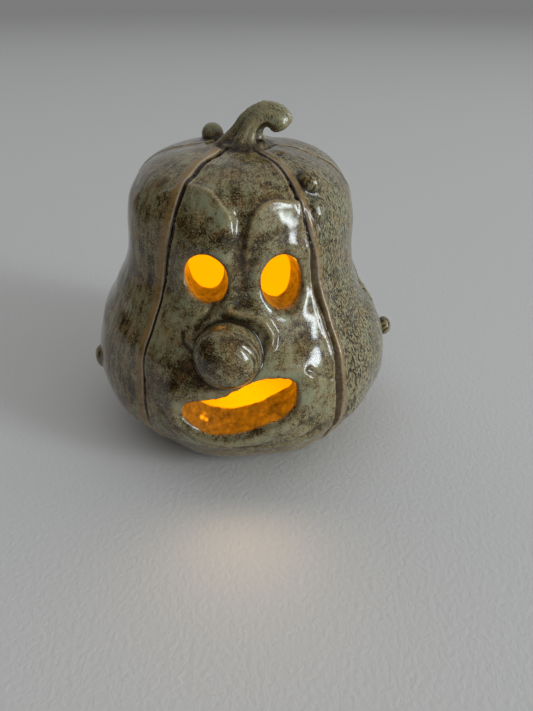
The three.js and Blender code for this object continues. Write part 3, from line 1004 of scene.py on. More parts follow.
def face_relief(x, z):
    """Brows, folds and cheeks, and the rounded rims of the eyes and the mouth."""
    relief = np.zeros_like(x)
    for row in FACE_RELIEF:
        relief += row["rise"] * hump(distance_to_path(x, z, row["path"]), row["reach"])
    for ledge in LEDGES:
        line = smooth_path(ledge["line"], LEDGE_STEPS)
        below = np.interp(x, line[:, 0], line[:, 1]) - z
        slab = smoothstep(below, -LEDGE_EDGE, LEDGE_EDGE) * (1 - smoothstep(below, *LEDGE_RUN))
        bead = LEDGE_BEAD["rise"] * hump(below - LEDGE_BEAD["below"], LEDGE_BEAD["reach"])
        first, last = line[0, 0] - LEDGE_END, line[-1, 0] + LEDGE_END
        ends = smoothstep(x, first, first + 2 * LEDGE_END) * smoothstep(-x, -last, 2 * LEDGE_END - last)
        relief += (ledge["rise"] * slab + bead) * ends
    for eye in EYES:
        outside = np.hypot((x - eye["x"]) / eye["wide"], (z - eye["z"]) / eye["high"]) - 1
        relief += EYE_RIM["rise"] * bell(outside * eye["wide"] - EYE_RIM["offset"], EYE_RIM["reach"])
    beside = distance_to_path(x, z, MOUTH_OUTLINE) - MOUTH_LIP["offset"]
    return relief + MOUTH_LIP["rise"] * bell(beside, MOUTH_LIP["reach"])


def side_relief(turn, share):
    relief = np.zeros_like(turn)
    for dent in SIDE_DENTS:
        across = turn_between(dent["angle"], turn) / dent["spread"]
        up = (share - dent["height"]) / dent["reach"]
        relief += dent["rise"] * np.exp(-(across**2) - up**2)
    return relief


def crown_relief(x, y):
    ring = np.hypot(x - STEM_COLLAR["x"], y - STEM_COLLAR["y"]) - STEM_COLLAR["radius"]
    relief = STEM_COLLAR["rise"] * hump(ring, STEM_COLLAR["reach"])
    for pit in CROWN_PITS:
        relief += pit["rise"] * hump(np.hypot(x - pit["x"], y - pit["y"]), pit["reach"])
    return relief


def skin_mesh(clay):
    """The gourd's outer skin, with the face, the dents and the crown worked into it."""
    values = {
        "Belly Radius": clay.belly,
        "Body Height": clay.height,
        "Columns": SKIN_COLUMNS,
        "Rows": SKIN_ROWS,
        **GROOVE_SIZES,
    }
    mesh = grown_mesh("gourd_skin", gourd_tree(), values)
    points = read_array(mesh.vertices, "co", 3)
    normals = read_array(mesh.vertex_normals, "vector", 3)
    height = read_array(mesh.attributes["height"].data, "value", 1)
    turn = np.degrees(np.arctan2(points[:, 0], -points[:, 1]))
    share = height / clay.height
    off_foot = smoothstep(height, 0, FOOT_FADE)
    front = np.sqrt(hump(turn, FACE_HALF_ANGLE)) * off_foot
    relief = face_relief(points[:, 0], height) * front + side_relief(turn, share)
    relief += crown_relief(points[:, 0], points[:, 1]) * (share > CROWN_HEIGHT)
    swayed = points[:, 2] + BASE_SWAY["rise"] * waves(points, BASE_SWAY["length"], BASE_SWAY["seed"])
    ridge = np.sin(swayed / BASE_RIDGES["spacing"] * math.tau)
    low = smoothstep(height, *BASE_RIDGES["low"]) * (1 - smoothstep(height, *BASE_RIDGES["high"]))
    patches = smoothstep(waves(points, BASE_PATCHES["length"], BASE_PATCHES["seed"]), -1, 1)
    relief += BASE_RIDGES["rise"] * ridge * low * patches
    for wave in HAND_WAVES:
        relief += wave["rise"] * waves(points, wave["length"], wave["seed"]) * off_foot
    moved = normals * relief[:, None]
    moved[:, 2] *= off_foot
    mesh.vertices.foreach_set("co", (points + moved).astype(np.float32).ravel())
    return mesh


def stem_mesh(clay):
    points = np.array(STEM_PATH) + (0, 0, clay.height)
    edges = [(i, i + 1) for i in range(len(points) - 1)]
    base = points_mesh("stem_path", points, edges, radius=STEM_RADII)
    return grown_mesh("stem", stem_tree(), {"Steps": STEM_STEPS, "Sides": STEM_SIDES}, base)


def wart_places(clay):
    """Centre and outward direction of every wart."""
    centres, outwards = [], []
    for wart in WARTS:
        height = wart["height"] * clay.height
        turn = math.radians(wart["angle"])
        flat, up = clay.normal_at(height)
        outward = np.array([math.sin(turn) * flat, -math.cos(turn) * flat, up])
        outward /= np.linalg.norm(outward)
        radius = clay.radius_at(height)
        foot = np.array([math.sin(turn) * radius, -math.cos(turn) * radius, height])
        centres.append(foot + outward * wart["out"])
        outwards.append(outward)
    return np.array(centres), np.array(outwards)


def wart_mesh(clay):
    centres, outwards = wart_places(clay)
    sizes = [(wart["radius"], wart["radius"], wart["radius"] * wart["flat"]) for wart in WARTS]
    base = points_mesh("wart_places", centres, outward=outwards, size=sizes)
    return grown_mesh("warts", wart_tree(), {"Segments": BALL_SEGMENTS, "Rings": BALL_RINGS}, base)


class DistanceGrid:
    """A box of voxels round the lantern that holds distances to clay surfaces."""

    def __init__(self, clay):
        self.voxel = clay.voxel
        low, high = (np.array(corner) / MM - BODY_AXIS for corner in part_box(NODE))
        low, high = low - GRID_MARGIN, high + GRID_MARGIN
        self.corner = np.floor(low / self.voxel).astype(int)
        self.shape = tuple(np.ceil(high / self.voxel).astype(int) - self.corner + 1)
        self.transform = openvdb.createLinearTransform(voxelSize=self.voxel)
        self.band = BAND_VOXELS * self.voxel

    def from_mesh(self, mesh):
        mesh.calc_loop_triangles()
        points = read_array(mesh.vertices, "co", 3).astype(np.float32)
        triangles = read_array(mesh.loop_triangles, "vertices", 3, np.int32).astype(np.uint32)
        level = openvdb.FloatGrid.createLevelSetFromPolygons(
            points, triangles=triangles, transform=self.transform, halfWidth=float(BAND_VOXELS)
        )
        distance = np.empty(self.shape, np.float32)
        level.copyToArray(distance, ijk=tuple(self.corner.tolist()))
        bpy.data.meshes.remove(mesh)
        return distance

    def axes(self, window=(slice(None),) * 3):
        """Coordinates along each axis of a window, ready to broadcast."""
        lines = [((np.arange(n) + c) * self.voxel)[w] for n, c, w in zip(self.shape, self.corner, window)]
        return np.meshgrid(*lines, indexing="ij", sparse=True)

    def window(self, low, high):
        first = np.maximum(np.floor(np.array(low) / self.voxel).astype(int) - self.corner, 0)
        last = np.minimum(np.ceil(np.array(high) / self.voxel).astype(int) - self.corner + 1, self.shape)
        return tuple(slice(a, b) for a, b in zip(first, last))

    def to_mesh(self, distance):
        level = openvdb.FloatGrid(background=self.band)
        level.copyFromArray(np.clip(distance, -self.band, self.band), ijk=tuple(self.corner.tolist()))
        level.transform = self.transform
        return level.convertToQuads(isovalue=0.0)

    def sample(self, distance, points):
        """Distances at points between the voxels, by linear blending."""
        place = points / self.voxel - self.corner
        cell = np.clip(np.floor(place).astype(int), 0, np.array(self.shape) - 2)
        part = place - cell
        value = np.zeros(len(points))
        for corner in np.ndindex(2, 2, 2):
            weight = np.prod(np.where(corner, part, 1 - part), axis=1)
            value += weight * distance[tuple((cell + corner).T)]
        return value


def joined(first, second, fillet):
    """Distance to two fused pieces of clay, with a fillet in the corner between them."""
    near = np.maximum(fillet - np.abs(first - second), 0) / fillet
    return np.minimum(first, second) - near * near * fillet / 4


def cut_out(clay, tool, fillet):
    """Distance to clay with a tool taken out of it, its edge rounded."""
    return -joined(-clay, tool, fillet)


def ellipsoid(x, y, z, half):
    """Distance to an ellipsoid about the origin, near enough close to its surface."""
    inner = np.sqrt((x / half[0]) ** 2 + (y / half[1]) ** 2 + (z / half[2]) ** 2)
    slope = np.sqrt((x / half[0] ** 2) ** 2 + (y / half[1] ** 2) ** 2 + (z / half[2] ** 2) ** 2)
    return inner * (inner - 1) / np.maximum(slope, 1e-6)


def nose_folds(x, y, z):
    """Strength of each crease round the side of the nose, at places from its centre."""
    tip_angle = np.degrees(np.arctan2(np.hypot(x, z), -y))
    round_tip = turn_between(NOSE_FOLDS["middle"], np.degrees(np.arctan2(z, x)))
    side = hump(round_tip, NOSE_FOLDS["spread"])
    return [hump(tip_angle - angle, NOSE_FOLDS["reach"]) * side for angle in NOSE_FOLDS["angles"]]


def hollow(grid, clay):
    """Distance to the hollow inside: the outer profile moved in by the wall, open at the foot."""
    inner = clay.outer - clay.normals * clay.wall_at(clay.outer[:, 1])[:, None]
    inner = inner[inner[:, 0] > 0]
    top = inner[-1, 1]
    x, y, z = grid.axes()
    radius = np.hypot(x, y)
    wall_radius = np.interp(z, inner[:, 1], inner[:, 0], left=inner[0, 0])
    slope = np.gradient(np.interp(z[0, 0], inner[:, 1], inner[:, 0]), grid.voxel)
    steep = np.sqrt(1 + np.minimum(np.abs(slope), STEEPEST_WALL) ** 2)[None, None, :]
    beside = (radius - wall_radius) / steep
    return np.maximum(beside, z - top).astype(np.float32)


def cut_unevenness(x, y, z):
    """How a hand-held knife wandered, over a window of voxels."""
    places = np.stack(np.broadcast_arrays(x, y, z), axis=-1)
    flat = places.reshape(-1, 3)
    moved = sum(wave["rise"] * waves(flat, wave["length"], wave["seed"]) for wave in CUT_WAVES)
    return moved.reshape(places.shape[:-1])


def eye_tunnel(grid, clay, eye):
    """Window and distance of an oval tube through the wall, turned with the face."""
    depth = math.sqrt(clay.radius_at(eye["z"]) ** 2 - eye["x"] ** 2)
    reach = max(eye["wide"], eye["high"]) + grid.band
    low = (eye["x"] - 2 * reach, -depth - 2 * reach, eye["z"] - reach)
    high = (eye["x"] + 2 * reach, -depth + EYE_CUT_INSIDE + grid.band, eye["z"] + reach)
    window = grid.window(low, high)
    x, y, z = grid.axes(window)
    turn, tilt = math.radians(eye["turn"]), math.radians(eye["tilt"])
    across = (x - eye["x"]) * math.cos(turn) + (y + depth) * math.sin(turn)
    inward = (y + depth) * math.cos(turn) - (x - eye["x"]) * math.sin(turn)
    sunk = np.maximum(inward, 0)
    up = z - eye["z"]
    narrower = 1 - EYE_TAPER * sunk
    side = (across * math.cos(tilt) - up * math.sin(tilt)) / narrower
    rise = (across * math.sin(tilt) + up * math.cos(tilt)) / narrower
    inner = np.hypot(side / eye["wide"], rise / eye["high"])
    slope = np.hypot(side / eye["wide"] ** 2, rise / eye["high"] ** 2)
    tube = inner * (inner - 1) / np.maximum(slope, 1e-6)
    return window, np.maximum(tube + EYE_WAVES * cut_unevenness(x, y, z), inward - EYE_CUT_INSIDE)


def mouth_tunnel(grid, clay):
    """Window and distance of the mouth's cut, narrowing inwards and tilted down to the front."""
    centre = MOUTH_OUTLINE[:-1].mean(0)
    depth = float(clay.radius_at(centre[1]))
    reach = np.abs(MOUTH_OUTLINE - centre).max(0) * MOUTH_CUT["margin"] + grid.band
    low = (centre[0] - reach[0], -depth - MOUTH_CUT["outside"], centre[1] - reach[1])
    high = (centre[0] + reach[0], -depth + MOUTH_CUT["inside"], centre[1] + reach[1])
    window = grid.window(low, high)
    x, y, z = grid.axes(window)
    tilt = math.radians(MOUTH_TILT)
    inward = (y + depth) * math.cos(tilt) + (z - centre[1]) * math.sin(tilt)
    rise = (z - centre[1]) * math.cos(tilt) - (y + depth) * math.sin(tilt)
    narrower, lower = (1 - MOUTH_TAPER[way] * inward / clay.belly_wall for way in ("across", "up"))
    flat_x = (x - centre[0]) / narrower + centre[0]
    flat_z = rise / lower + centre[1]
    edge = distance_to_path(flat_x, flat_z, MOUTH_OUTLINE)
    edge = np.where(inside_outline(flat_x, flat_z, MOUTH_OUTLINE), -edge, edge)
    return window, edge * lower + cut_unevenness(x, y, z)


def fused_clay(clay):
    """The whole lantern as one distance field, with the fields that the glaze reads."""
    grid = DistanceGrid(clay)
    skin = grid.from_mesh(skin_mesh(clay))
    inner = hollow(grid, clay)
    body = cut_out(skin, inner, FILLETS["foot"])
    opening = np.full(grid.shape, grid.band, np.float32)
    tunnels = [(eye_tunnel(grid, clay, eye), FILLETS["eye"]) for eye in EYES]
    tunnels.append((mouth_tunnel(grid, clay), FILLETS["mouth"]))
    for (window, tunnel), fillet in tunnels:
        body[window] = cut_out(body[window], tunnel, fillet)
        opening[window] = np.minimum(opening[window], tunnel)
    nose_depth = math.sqrt(clay.radius_at(NOSE["z"]) ** 2 - NOSE["x"] ** 2) + NOSE["out"]
    centre = np.array([NOSE["x"], -nose_depth, NOSE["z"]])
    reach = max(NOSE["half"]) + grid.band
    window = grid.window(centre - reach, centre + reach)
    x, y, z = grid.axes(window)
    from_centre = (x - centre[0], y - centre[1], z - centre[2])
    nose = ellipsoid(*from_centre, NOSE["half"]) + NOSE_FOLDS["depth"] * sum(nose_folds(*from_centre))
    body[window] = joined(body[window], nose, FILLETS["nose"])
    fields = {"skin": skin, "inner": inner, "opening": opening, "nose_centre": centre}
    fields["nose"] = np.full(grid.shape, grid.band, np.float32)
    fields["nose"][window] = nose
    fields["stem"] = grid.from_mesh(stem_mesh(clay))
    fields["warts"] = grid.from_mesh(wart_mesh(clay))
    body = joined(body, fields["stem"], FILLETS["stem"])
    body = joined(body, fields["warts"], FILLETS["wart"])
    centres, outwards = wart_places(clay)
    button = WARTS[BUTTON]
    pit = centres[BUTTON] + outwards[BUTTON] * (button["radius"] * button["flat"] + BUTTON_DIMPLE["off"])
    window = grid.window(pit - grid.band, pit + grid.band)
    x, y, z = grid.axes(window)
    dimple = np.sqrt((x - pit[0]) ** 2 + (y - pit[1]) ** 2 + (z - pit[2]) ** 2) - BUTTON_DIMPLE["radius"]
    body[window] = cut_out(body[window], dimple, FILLETS["wart"])
    return grid, body, fields


def thin_hidden_faces(lantern, grid, fields):
    """Fewer faces on the smooth inner wall and on the back, where nothing fine is modelled."""
    points = read_array(lantern.data.vertices, "co", 3) / MM - BODY_AXIS
    turn = np.degrees(np.arctan2(points[:, 0], -points[:, 1]))
    inner = grid.sample(fields["inner"], points) < grid.voxel
    inner &= grid.sample(fields["opening"], points) > HIDDEN_WALL["from_cut"]
    inner &= points[:, 2] > HIDDEN_WALL["above_table"]
    group = lantern.vertex_groups.new(name="hidden")
    group.add(np.flatnonzero(inner | (np.abs(turn) > FRONT_HALF_ANGLE)).tolist(), 1.0, "REPLACE")
    modifier = lantern.modifiers.new("thin", "DECIMATE")
    modifier.vertex_group = group.name
    modifier.ratio = min(1.0, FACE_LIMIT / sum(len(face.vertices) - 2 for face in lantern.data.polygons))
    depsgraph = bpy.context.evaluated_depsgraph_get()
    mesh = bpy.data.meshes.new_from_object(lantern.evaluated_get(depsgraph), depsgraph=depsgraph)
    lantern.modifiers.remove(modifier)
    lantern.vertex_groups.remove(group)
    old = lantern.data
    lantern.data = mesh
    bpy.data.meshes.remove(old)


def ridge_measure(grid, body, points):
    """How far clay stands out of its smoothed self at each point, positive on edges and ridges."""
    soft = body
    for axis in (0, 1, 2) * RIDGE_PASSES:
        soft = sum(np.roll(soft, step, axis) for step in range(-RIDGE_VOXELS, RIDGE_VOXELS + 1))
        soft = soft / np.float32(2 * RIDGE_VOXELS + 1)
    return np.clip(grid.sample(soft, points) / RIDGE_SCALE, -1, 1)


def groove_maps(clay, turn, radius, z):
    """Distance beside the nearest groove, towards its lip, with its half width and its lip's share."""
    nearest = np.full_like(z, GROOVE_FAR)
    beside, width, band = nearest.copy(), np.ones_like(z), np.ones_like(z)
    share = z / clay.height
    for groove in GROOVES:
        eased = smoothstep(share, groove["start"], groove["end"])
        line = groove["low"] + (groove["top"] - groove["low"]) * eased
        across = np.radians(turn_between(line, turn)) * radius * groove["lip"]
        near = np.abs(across) < nearest
        nearest[near] = np.abs(across)[near]
        beside[near] = across[near]
        flared = smoothstep(share - groove["widen"], -GROOVE_FLARE, GROOVE_FLARE)
        width[near] = (groove["width"] * (1 + groove["flare"] * flared))[near]
        band[near] = groove["band"]
    return beside, width, band


def glow_map(points, normals, wall):
    """How brightly the painted glow of the light inside shows: direct on the wall, bounced in the cuts, and
    in painted glints.
    """
    to_light = np.array(GLOW_LIGHT) - points
    distance = np.linalg.norm(to_light, axis=1)
    facing = np.clip(np.einsum("ij,ij->i", normals, to_light) / distance, 0, 1)
    to_middle = np.array(GLOW_MIDDLE) - points
    open_to = np.einsum("ij,ij->i", normals, to_middle) / np.linalg.norm(to_middle, axis=1)
    direct = GLOW_LEVELS["inner"] + GLOW_LEVELS["direct"] * facing * (GLOW_REACH / distance) ** 2
    at_eyes = smoothstep(points[:, 2], *GLOW_EYE_HEIGHT)
    bounce = GLOW_LEVELS["bounce"] + (GLOW_LEVELS["eyes"] - GLOW_LEVELS["bounce"]) * at_eyes
    bounce *= GLOW_OPEN["base"] + GLOW_OPEN["gain"] * np.clip(open_to, GLOW_OPEN["least"], 1)
    glow = bounce + wall * direct
    for glint in GLINTS:
        glow += glint["level"] * hump(np.linalg.norm(points - glint["place"], axis=1), glint["reach"])
    return glow


def paint_glaze_maps(lantern, clay, grid, body, fields):
    """Stores where the glaze breaks, pools and glows, and where shade is painted, as attributes of the mesh.
    """
    mesh = lantern.data
    points = read_array(mesh.vertices, "co", 3) / MM - BODY_AXIS
    normals = read_array(mesh.vertex_normals, "vector", 3)
    x, z = points[:, 0], points[:, 2]
    turn = np.degrees(np.arctan2(x, -points[:, 1]))
    radius = np.hypot(x, points[:, 1])
    depth = -grid.sample(fields["skin"], points)
    opening = grid.sample(fields["opening"], points)
    wall = smoothstep(grid.sample(fields["inner"], points), *CUT_EDGE)
    shaded = INNER_SHADE["deeper"] * smoothstep(x, *INNER_SHADE["side"])
    inner = smoothstep(depth - shaded, *INNER_DEPTH) * np.maximum(wall, smoothstep(opening, *CUT_EDGE))

    # Which part of the lantern each point is on
    on_skin = smoothstep(depth, *SKIN_DEPTH)
    on_wart = smoothstep(grid.sample(fields["warts"], points), *WART_EDGE)
    on_stem = smoothstep(z, *STEM_TONE["low"])
    pressed_on = np.maximum(on_stem, on_wart)
    on_base = 1 - smoothstep(z, *BASE_TONE_AND_BOUNCE["low"])
    from_nose = points - fields["nose_centre"]
    on_nose = smoothstep(np.linalg.norm(from_nose / NOSE["half"], axis=1), *NOSE_EDGE)
    face = np.sqrt(hump(turn, FACE_HALF_ANGLE))
    beside, width, band = groove_maps(clay, turn, radius, z)
    on_groove = smoothstep(radius, *GROOVE_FADE) * on_skin * smoothstep(-depth, *GROOVE_PROUD)

    # Pale and dark tones, with painted shade under the nose and painted bounce light round the base
    tone = np.zeros_like(x)
    for row in FACE_TONES_AND_SHADE:
        tone += row["tone"] * hump(distance_to_path(x, z, row["path"]), row["reach"])
    low_nose = 1 - smoothstep(from_nose[:, 2], *NOSE_TONES["low"])
    nose_tone = NOSE_TONES["dark"] + (NOSE_TONES["pale"] - NOSE_TONES["dark"]) * low_nose
    tone = tone * face * (1 - on_nose) + on_nose * nose_tone
    # Round the base the tone is lifted as painted light bounced up from the floor
    tone += BASE_TONE_AND_BOUNCE["tone"] * on_base + STEM_TONE["tone"] * pressed_on * on_stem

    # Painted shade: dark lines in the nose's folds, round the cuts and at the seams
    shade_lines = np.maximum.reduce(nose_folds(*from_nose.T)) * on_nose
    line = RIM_LINE["share"] * bell(opening - RIM_LINE["offset"], RIM_LINE["reach"]) * on_skin
    shade_lines = np.maximum(shade_lines, line)
    for piece, share in SEAM_SHADES.items():
        seam = hump(grid.sample(fields[piece], points), SEAM_REACH) * hump(depth, SEAM_REACH)
        shade_lines = np.maximum(shade_lines, share * seam)

    # Streaked and brushed glaze
    streak = np.interp(turn, *np.array(STREAK_TURN).T) * (1 - on_nose)
    streak += (STEM_TONE["streak"] - streak) * on_stem
    crown = BRUSHED_CROWN["share"] * smoothstep(z, *BRUSHED_CROWN["low"]) * (1 - pressed_on)
    maps = {
        "groove": beside,
        "width": width,
        "band": band,
        "on_groove": on_groove * (1 - on_wart),
        "crease": CREASE_SHADE * shade_lines,
        "tone": tone,
        "rim": bell(opening - RIM_HALO["offset"], RIM_HALO["reach"]) * on_skin,
        "streak": streak,
        "stem": pressed_on,
        "brush": np.maximum((1 - streak) * (1 - face), crown),
        "base": on_base,
        "ridge": ridge_measure(grid, body, points),
        "inner": inner,
        "glow": np.clip(glow_map(points, normals, wall) * inner, 0, GLOW_MOST),
    }
    for name, values in maps.items():
        layer = mesh.attributes.new(name, "FLOAT", "POINT")
        layer.data.foreach_set("value", values.astype(np.float32))
    return points, inner


class Shade:
    """A material's node tree with short names for the nodes that the finishes use."""

    def __init__(self, tree):
        self.tree = tree

    def attribute(self, name):
        node = add_node(self.tree, "ShaderNodeAttribute", attribute_name=name)
        return Field(self.tree, node.outputs["Fac"])

    def place(self, scale=(1000, 1000, 1000), offset=(0, 0, 0)):
        """Object coordinates in millimetres, stretched and moved."""
        where = add_node(self.tree, "ShaderNodeTexCoord").outputs["Object"]
        values = {"Vector": where, "Scale": scale, "Location": offset}
        return node_out(self.tree, "ShaderNodeMapping", values)

    def noise(self, vector, size, detail=3.0, roughness=0.55, distortion=0.0):
        values = {
            "Vector": vector,
            "Scale": 1 / size,
            "Detail": detail,
            "Roughness": roughness,
            "Distortion": distortion,
        }
        return node_out(self.tree, "ShaderNodeTexNoise", values)

    def meridian(self, stretch):
        """Millimetres round the body and, stretched, along the lobes from the foot to the stem."""
        where = self.place(offset=(-BODY_AXIS[0], -BODY_AXIS[1], 0))
        where = add_node(self.tree, "ShaderNodeSeparateXYZ", {0: where})
        x, y, z = (Field(self.tree, where.outputs[axis]) for axis in "XYZ")
        radius = (x * x + y * y).math("SQRT").math("MAXIMUM", 1.0)
        values = {"X": x / radius * STREAK_RADIUS, "Y": y / radius * STREAK_RADIUS}
        values["Z"] = (z - radius) * stretch
        return node_out(self.tree, "ShaderNodeCombineXYZ", values)

    def mix(self, share, first, second):
        node = add_node(self.tree, "ShaderNodeMix", data_type="RGBA")
        for socket, value in zip((node.inputs[0], node.inputs[6], node.inputs[7]), (share, first, second)):
            feed(self.tree, socket, value)
        return Field(self.tree, node.outputs[2])

    def ramp(self, value, stops):
        node = add_node(self.tree, "ShaderNodeValToRGB", {"Fac": value})
        ramp = node.color_ramp
        while len(ramp.elements) < len(stops):
            ramp.elements.new(0.5)
        for element, (place, colour) in zip(ramp.elements, stops):
            element.position = place
            element.color = colour
        return Field(self.tree, node.outputs["Color"])

    def group(self, tree, values):
        node = add_node(self.tree, "ShaderNodeGroup", node_tree=tree)
        for name, value in values.items():
            feed(self.tree, node.inputs[name], value)
        return {socket.name: Field(self.tree, socket) for socket in node.outputs}

    def bump(self, height, finish):
        values = {"Height": height, "Strength": finish["bump"], "Distance": finish["depth"]}
        return node_out(self.tree, "ShaderNodeBump", values)


def rgba(colour):
    return (*colour, 1.0)


def speckle_group():
    """Fine dark specks and a soft grain, as masks from 0 to 1."""
    inputs = {
        "Vector": ("NodeSocketVector", None),
        "Speck Spacing": ("NodeSocketFloat", 3.0),
        "Speck Size": ("NodeSocketFloat", 0.12),
        "Grain Size": ("NodeSocketFloat", 0.8),
    }
    outputs = {"Specks": "NodeSocketFloat", "Grain": "NodeSocketFloat"}
    tree, given, out = new_tree("Speckle", "ShaderNodeTree", inputs, outputs)
    shade = Shade(tree)
    even = given["Speck Spacing"].math("POWER", -1.0)
    cells = node_out(tree, "ShaderNodeTexVoronoi", {"Vector": given["Vector"], "Scale": even})
    uneven = shade.noise(given["Vector"], **NOISES["specks"])
    size = given["Speck Size"] * (uneven * SPECK_SPREAD)
    feed(tree, out.inputs["Specks"], (cells / size).eased(*SPECK_EDGE))
    fine = given["Grain Size"].math("POWER", -1.0)
    values = {"Vector": given["Vector"], "Scale": fine, "Detail": GRAIN_DETAIL}
    feed(tree, out.inputs["Grain"], node_out(tree, "ShaderNodeTexNoise", values))
    return tree


def amber_group():
    """The colour of light from inside on the wall: brighter where the glow reaches, dark in its grain."""
    inputs = {
        "Glow": ("NodeSocketFloat", 0.0),
        "Grain": ("NodeSocketFloat", 0.5),
        "Amber": ("NodeSocketColor", (1.0, 0.3, 0.0, 1.0)),
    }
    tree, given, out = new_tree("Amber glow", "ShaderNodeTree", inputs, {"Emission": "NodeSocketColor"})
    level = given["Glow"] * (given["Grain"] * AMBER_LEVEL["grain"] + AMBER_LEVEL["base"])
    values = {0: given["Amber"], "Scale": level * AMBER_LEVEL["share"]}
    feed(tree, out.inputs["Emission"], node_out(tree, "ShaderNodeVectorMath", values, operation="SCALE"))
    return tree


def new_material(name):
    material = bpy.data.materials.new(name)
    material.use_nodes = True
    surface = material.node_tree.nodes["Principled BSDF"]
    return material, Shade(material.node_tree), surface


def groove_marks(shade):
    """Masks of the painted shade along the cut, the floor of a wide cut, the tan lip and the thin edges."""
    groove, width = shade.attribute("groove"), shade.attribute("width")
    band, here = shade.attribute("band"), shade.attribute("on_groove")
    wide = width.eased(WIDE_GROOVE["low"], WIDE_GROOVE["high"])
    line = groove + wide * width * WIDE_GROOVE["shift"]
    half = width * wide.flipped(WIDE_GROOVE["narrower"])
    # Painted shade: a dark line along the narrow slot of the cut
    cut = (line.math("ABSOLUTE") / half).eased(*CUT_SHADE)
    floor = (groove.math("ABSOLUTE") / width).eased(*CUT_FLOOR) * wide
    lip = ((groove - width) / band - LIP_TAN["offset"]).bell(LIP_TAN["reach"])
    lip = lip * (band - LIP_TAN["least"]).clipped() * LIP_TAN["gain"]
    near_side = (groove + width + THIN_EDGES["near"]).bell(THIN_EDGES["reach"]) * THIN_EDGES["share"]
    far_side = (groove - width - THIN_EDGES["far"]).bell(THIN_EDGES["reach"])
    return cut * here, floor * here, lip.clipped() * here, (near_side + far_side).clipped() * here


def glaze_noises(shade):
    """The glaze's noises by name: patches over the whole body, streaks along the lobes, rings at the base."""
    vectors = {name: shade.place(offset=NOISE_OFFSETS[name]) for name in ("blotch", "patchy", "warm")}
    vectors.update({name: shade.meridian(stretch) for name, stretch in STREAK_STRETCH.items()})
    vectors.update({"broad": shade.place(), "bands": shade.place(scale=BAND_SCALE)})
    return {name: shade.noise(vector, **NOISES[name]) for name, vector in vectors.items()}


def glaze_tone(shade, noises, grain):
    """How pale the glaze lies, from its patches, streaks, rims and rings."""
    swings = {name: noises[name].about(TONE_SWINGS[name]) for name in noises if name in TONE_SWINGS}
    streak, brushed = shade.attribute("streak"), shade.attribute("brush")
    ground = swings["broad"] + swings["blotch"] * brushed.flipped(CALM["blotch"])
    # The tone map also holds painted shade under the nose and painted bounce light round the base
    ground = ground + shade.attribute("tone") + shade.attribute("rim") * TONE_LIFTS["rim"] + TONE_START
    rough = ground.eased(*CALM["pooled"]).flipped(CALM["pooled_share"]) * brushed.flipped(CALM["grain"])
    tone = ground + (swings["patchy"] + grain.about(TONE_SWINGS["grain"])) * rough
    tone = tone + shade.attribute("ridge") * TONE_LIFTS["ridge"]
    tone = tone + streak * (swings["runs"] + TONE_LIFTS["runs"])
    tone = tone + brushed * (swings["brush"] + TONE_LIFTS["brush"])
    return tone + shade.attribute("base") * swings["bands"]


def glaze_colour(shade, colours, noises, marks):
    """The glaze's colour: toned, then tan and moss in patches, then painted lips and edges, then painted
    shade in hollows, creases and cuts.
    """
    patchy, runs, brush, warm = (noises[name] for name in ("patchy", "runs", "brush", "warm"))
    streak, brushed, ridge = (shade.attribute(name) for name in ("streak", "brush", "ridge"))
    tone = glaze_tone(shade, noises, marks["Grain"])
    stops = [(place, rgba(getattr(colours, name))) for name, place in TONE_STOPS.items()]
    colour = shade.ramp(tone, stops)
    tan, clay, dark = rgba(colours.tan), rgba(colours.clay), rgba(colours.dark)
    brush_tan = brushed * (brush * WARM_PATCH["brush"] - WARM_PATCH["brush_from"])
    warmth = warm - 0.5 + brush_tan + streak * (runs - WARM_PATCH["runs_from"])
    colour = shade.mix(warmth.clipped() * WARM_PATCH["gain"], colour, tan)
    mossy = (warm * -1.0 + MOSS_PATCH["from"]).clipped() * MOSS_PATCH["gain"]
    colour = shade.mix(mossy, colour, rgba(colours.moss))
    colour = shade.mix(shade.attribute("base") * (noises["bands"] * BAND_TAN), colour, tan)
    cut, floor, lip, thin = groove_marks(shade)
    floor_colour = shade.mix(patchy * FLOOR_PAINT["tan"], rgba(colours.umber), tan)
    colour = shade.mix(floor * FLOOR_PAINT["share"], colour, floor_colour)
    edge = ((ridge - EDGE_TAN["from"]) * EDGE_TAN["gain"]).clipped()
    edge = edge * shade.attribute("stem").flipped(EDGE_TAN["off_stem"])
    painted = [
        (edge, EDGE_TAN["patches"], tan),
        (lip, LIP_PATCHES, rgba(colours.lip)),
        (thin, THIN_PATCHES, clay),
    ]
    for mask, (gain, less), paint in painted:
        colour = shade.mix((mask * (patchy * gain - less)).clipped(), colour, paint)
    # Painted shade: hollows, creases and cuts darkened towards the dark glaze
    sunk = (ridge * -1.0 - HOLLOW_SHADE_FROM).clipped() + shade.attribute("crease") + cut
    colour = shade.mix(sunk.clipped(), colour, dark)
    return shade.mix(marks["Specks"] * SPECK_SHADE, colour, SPECK_COLOUR)


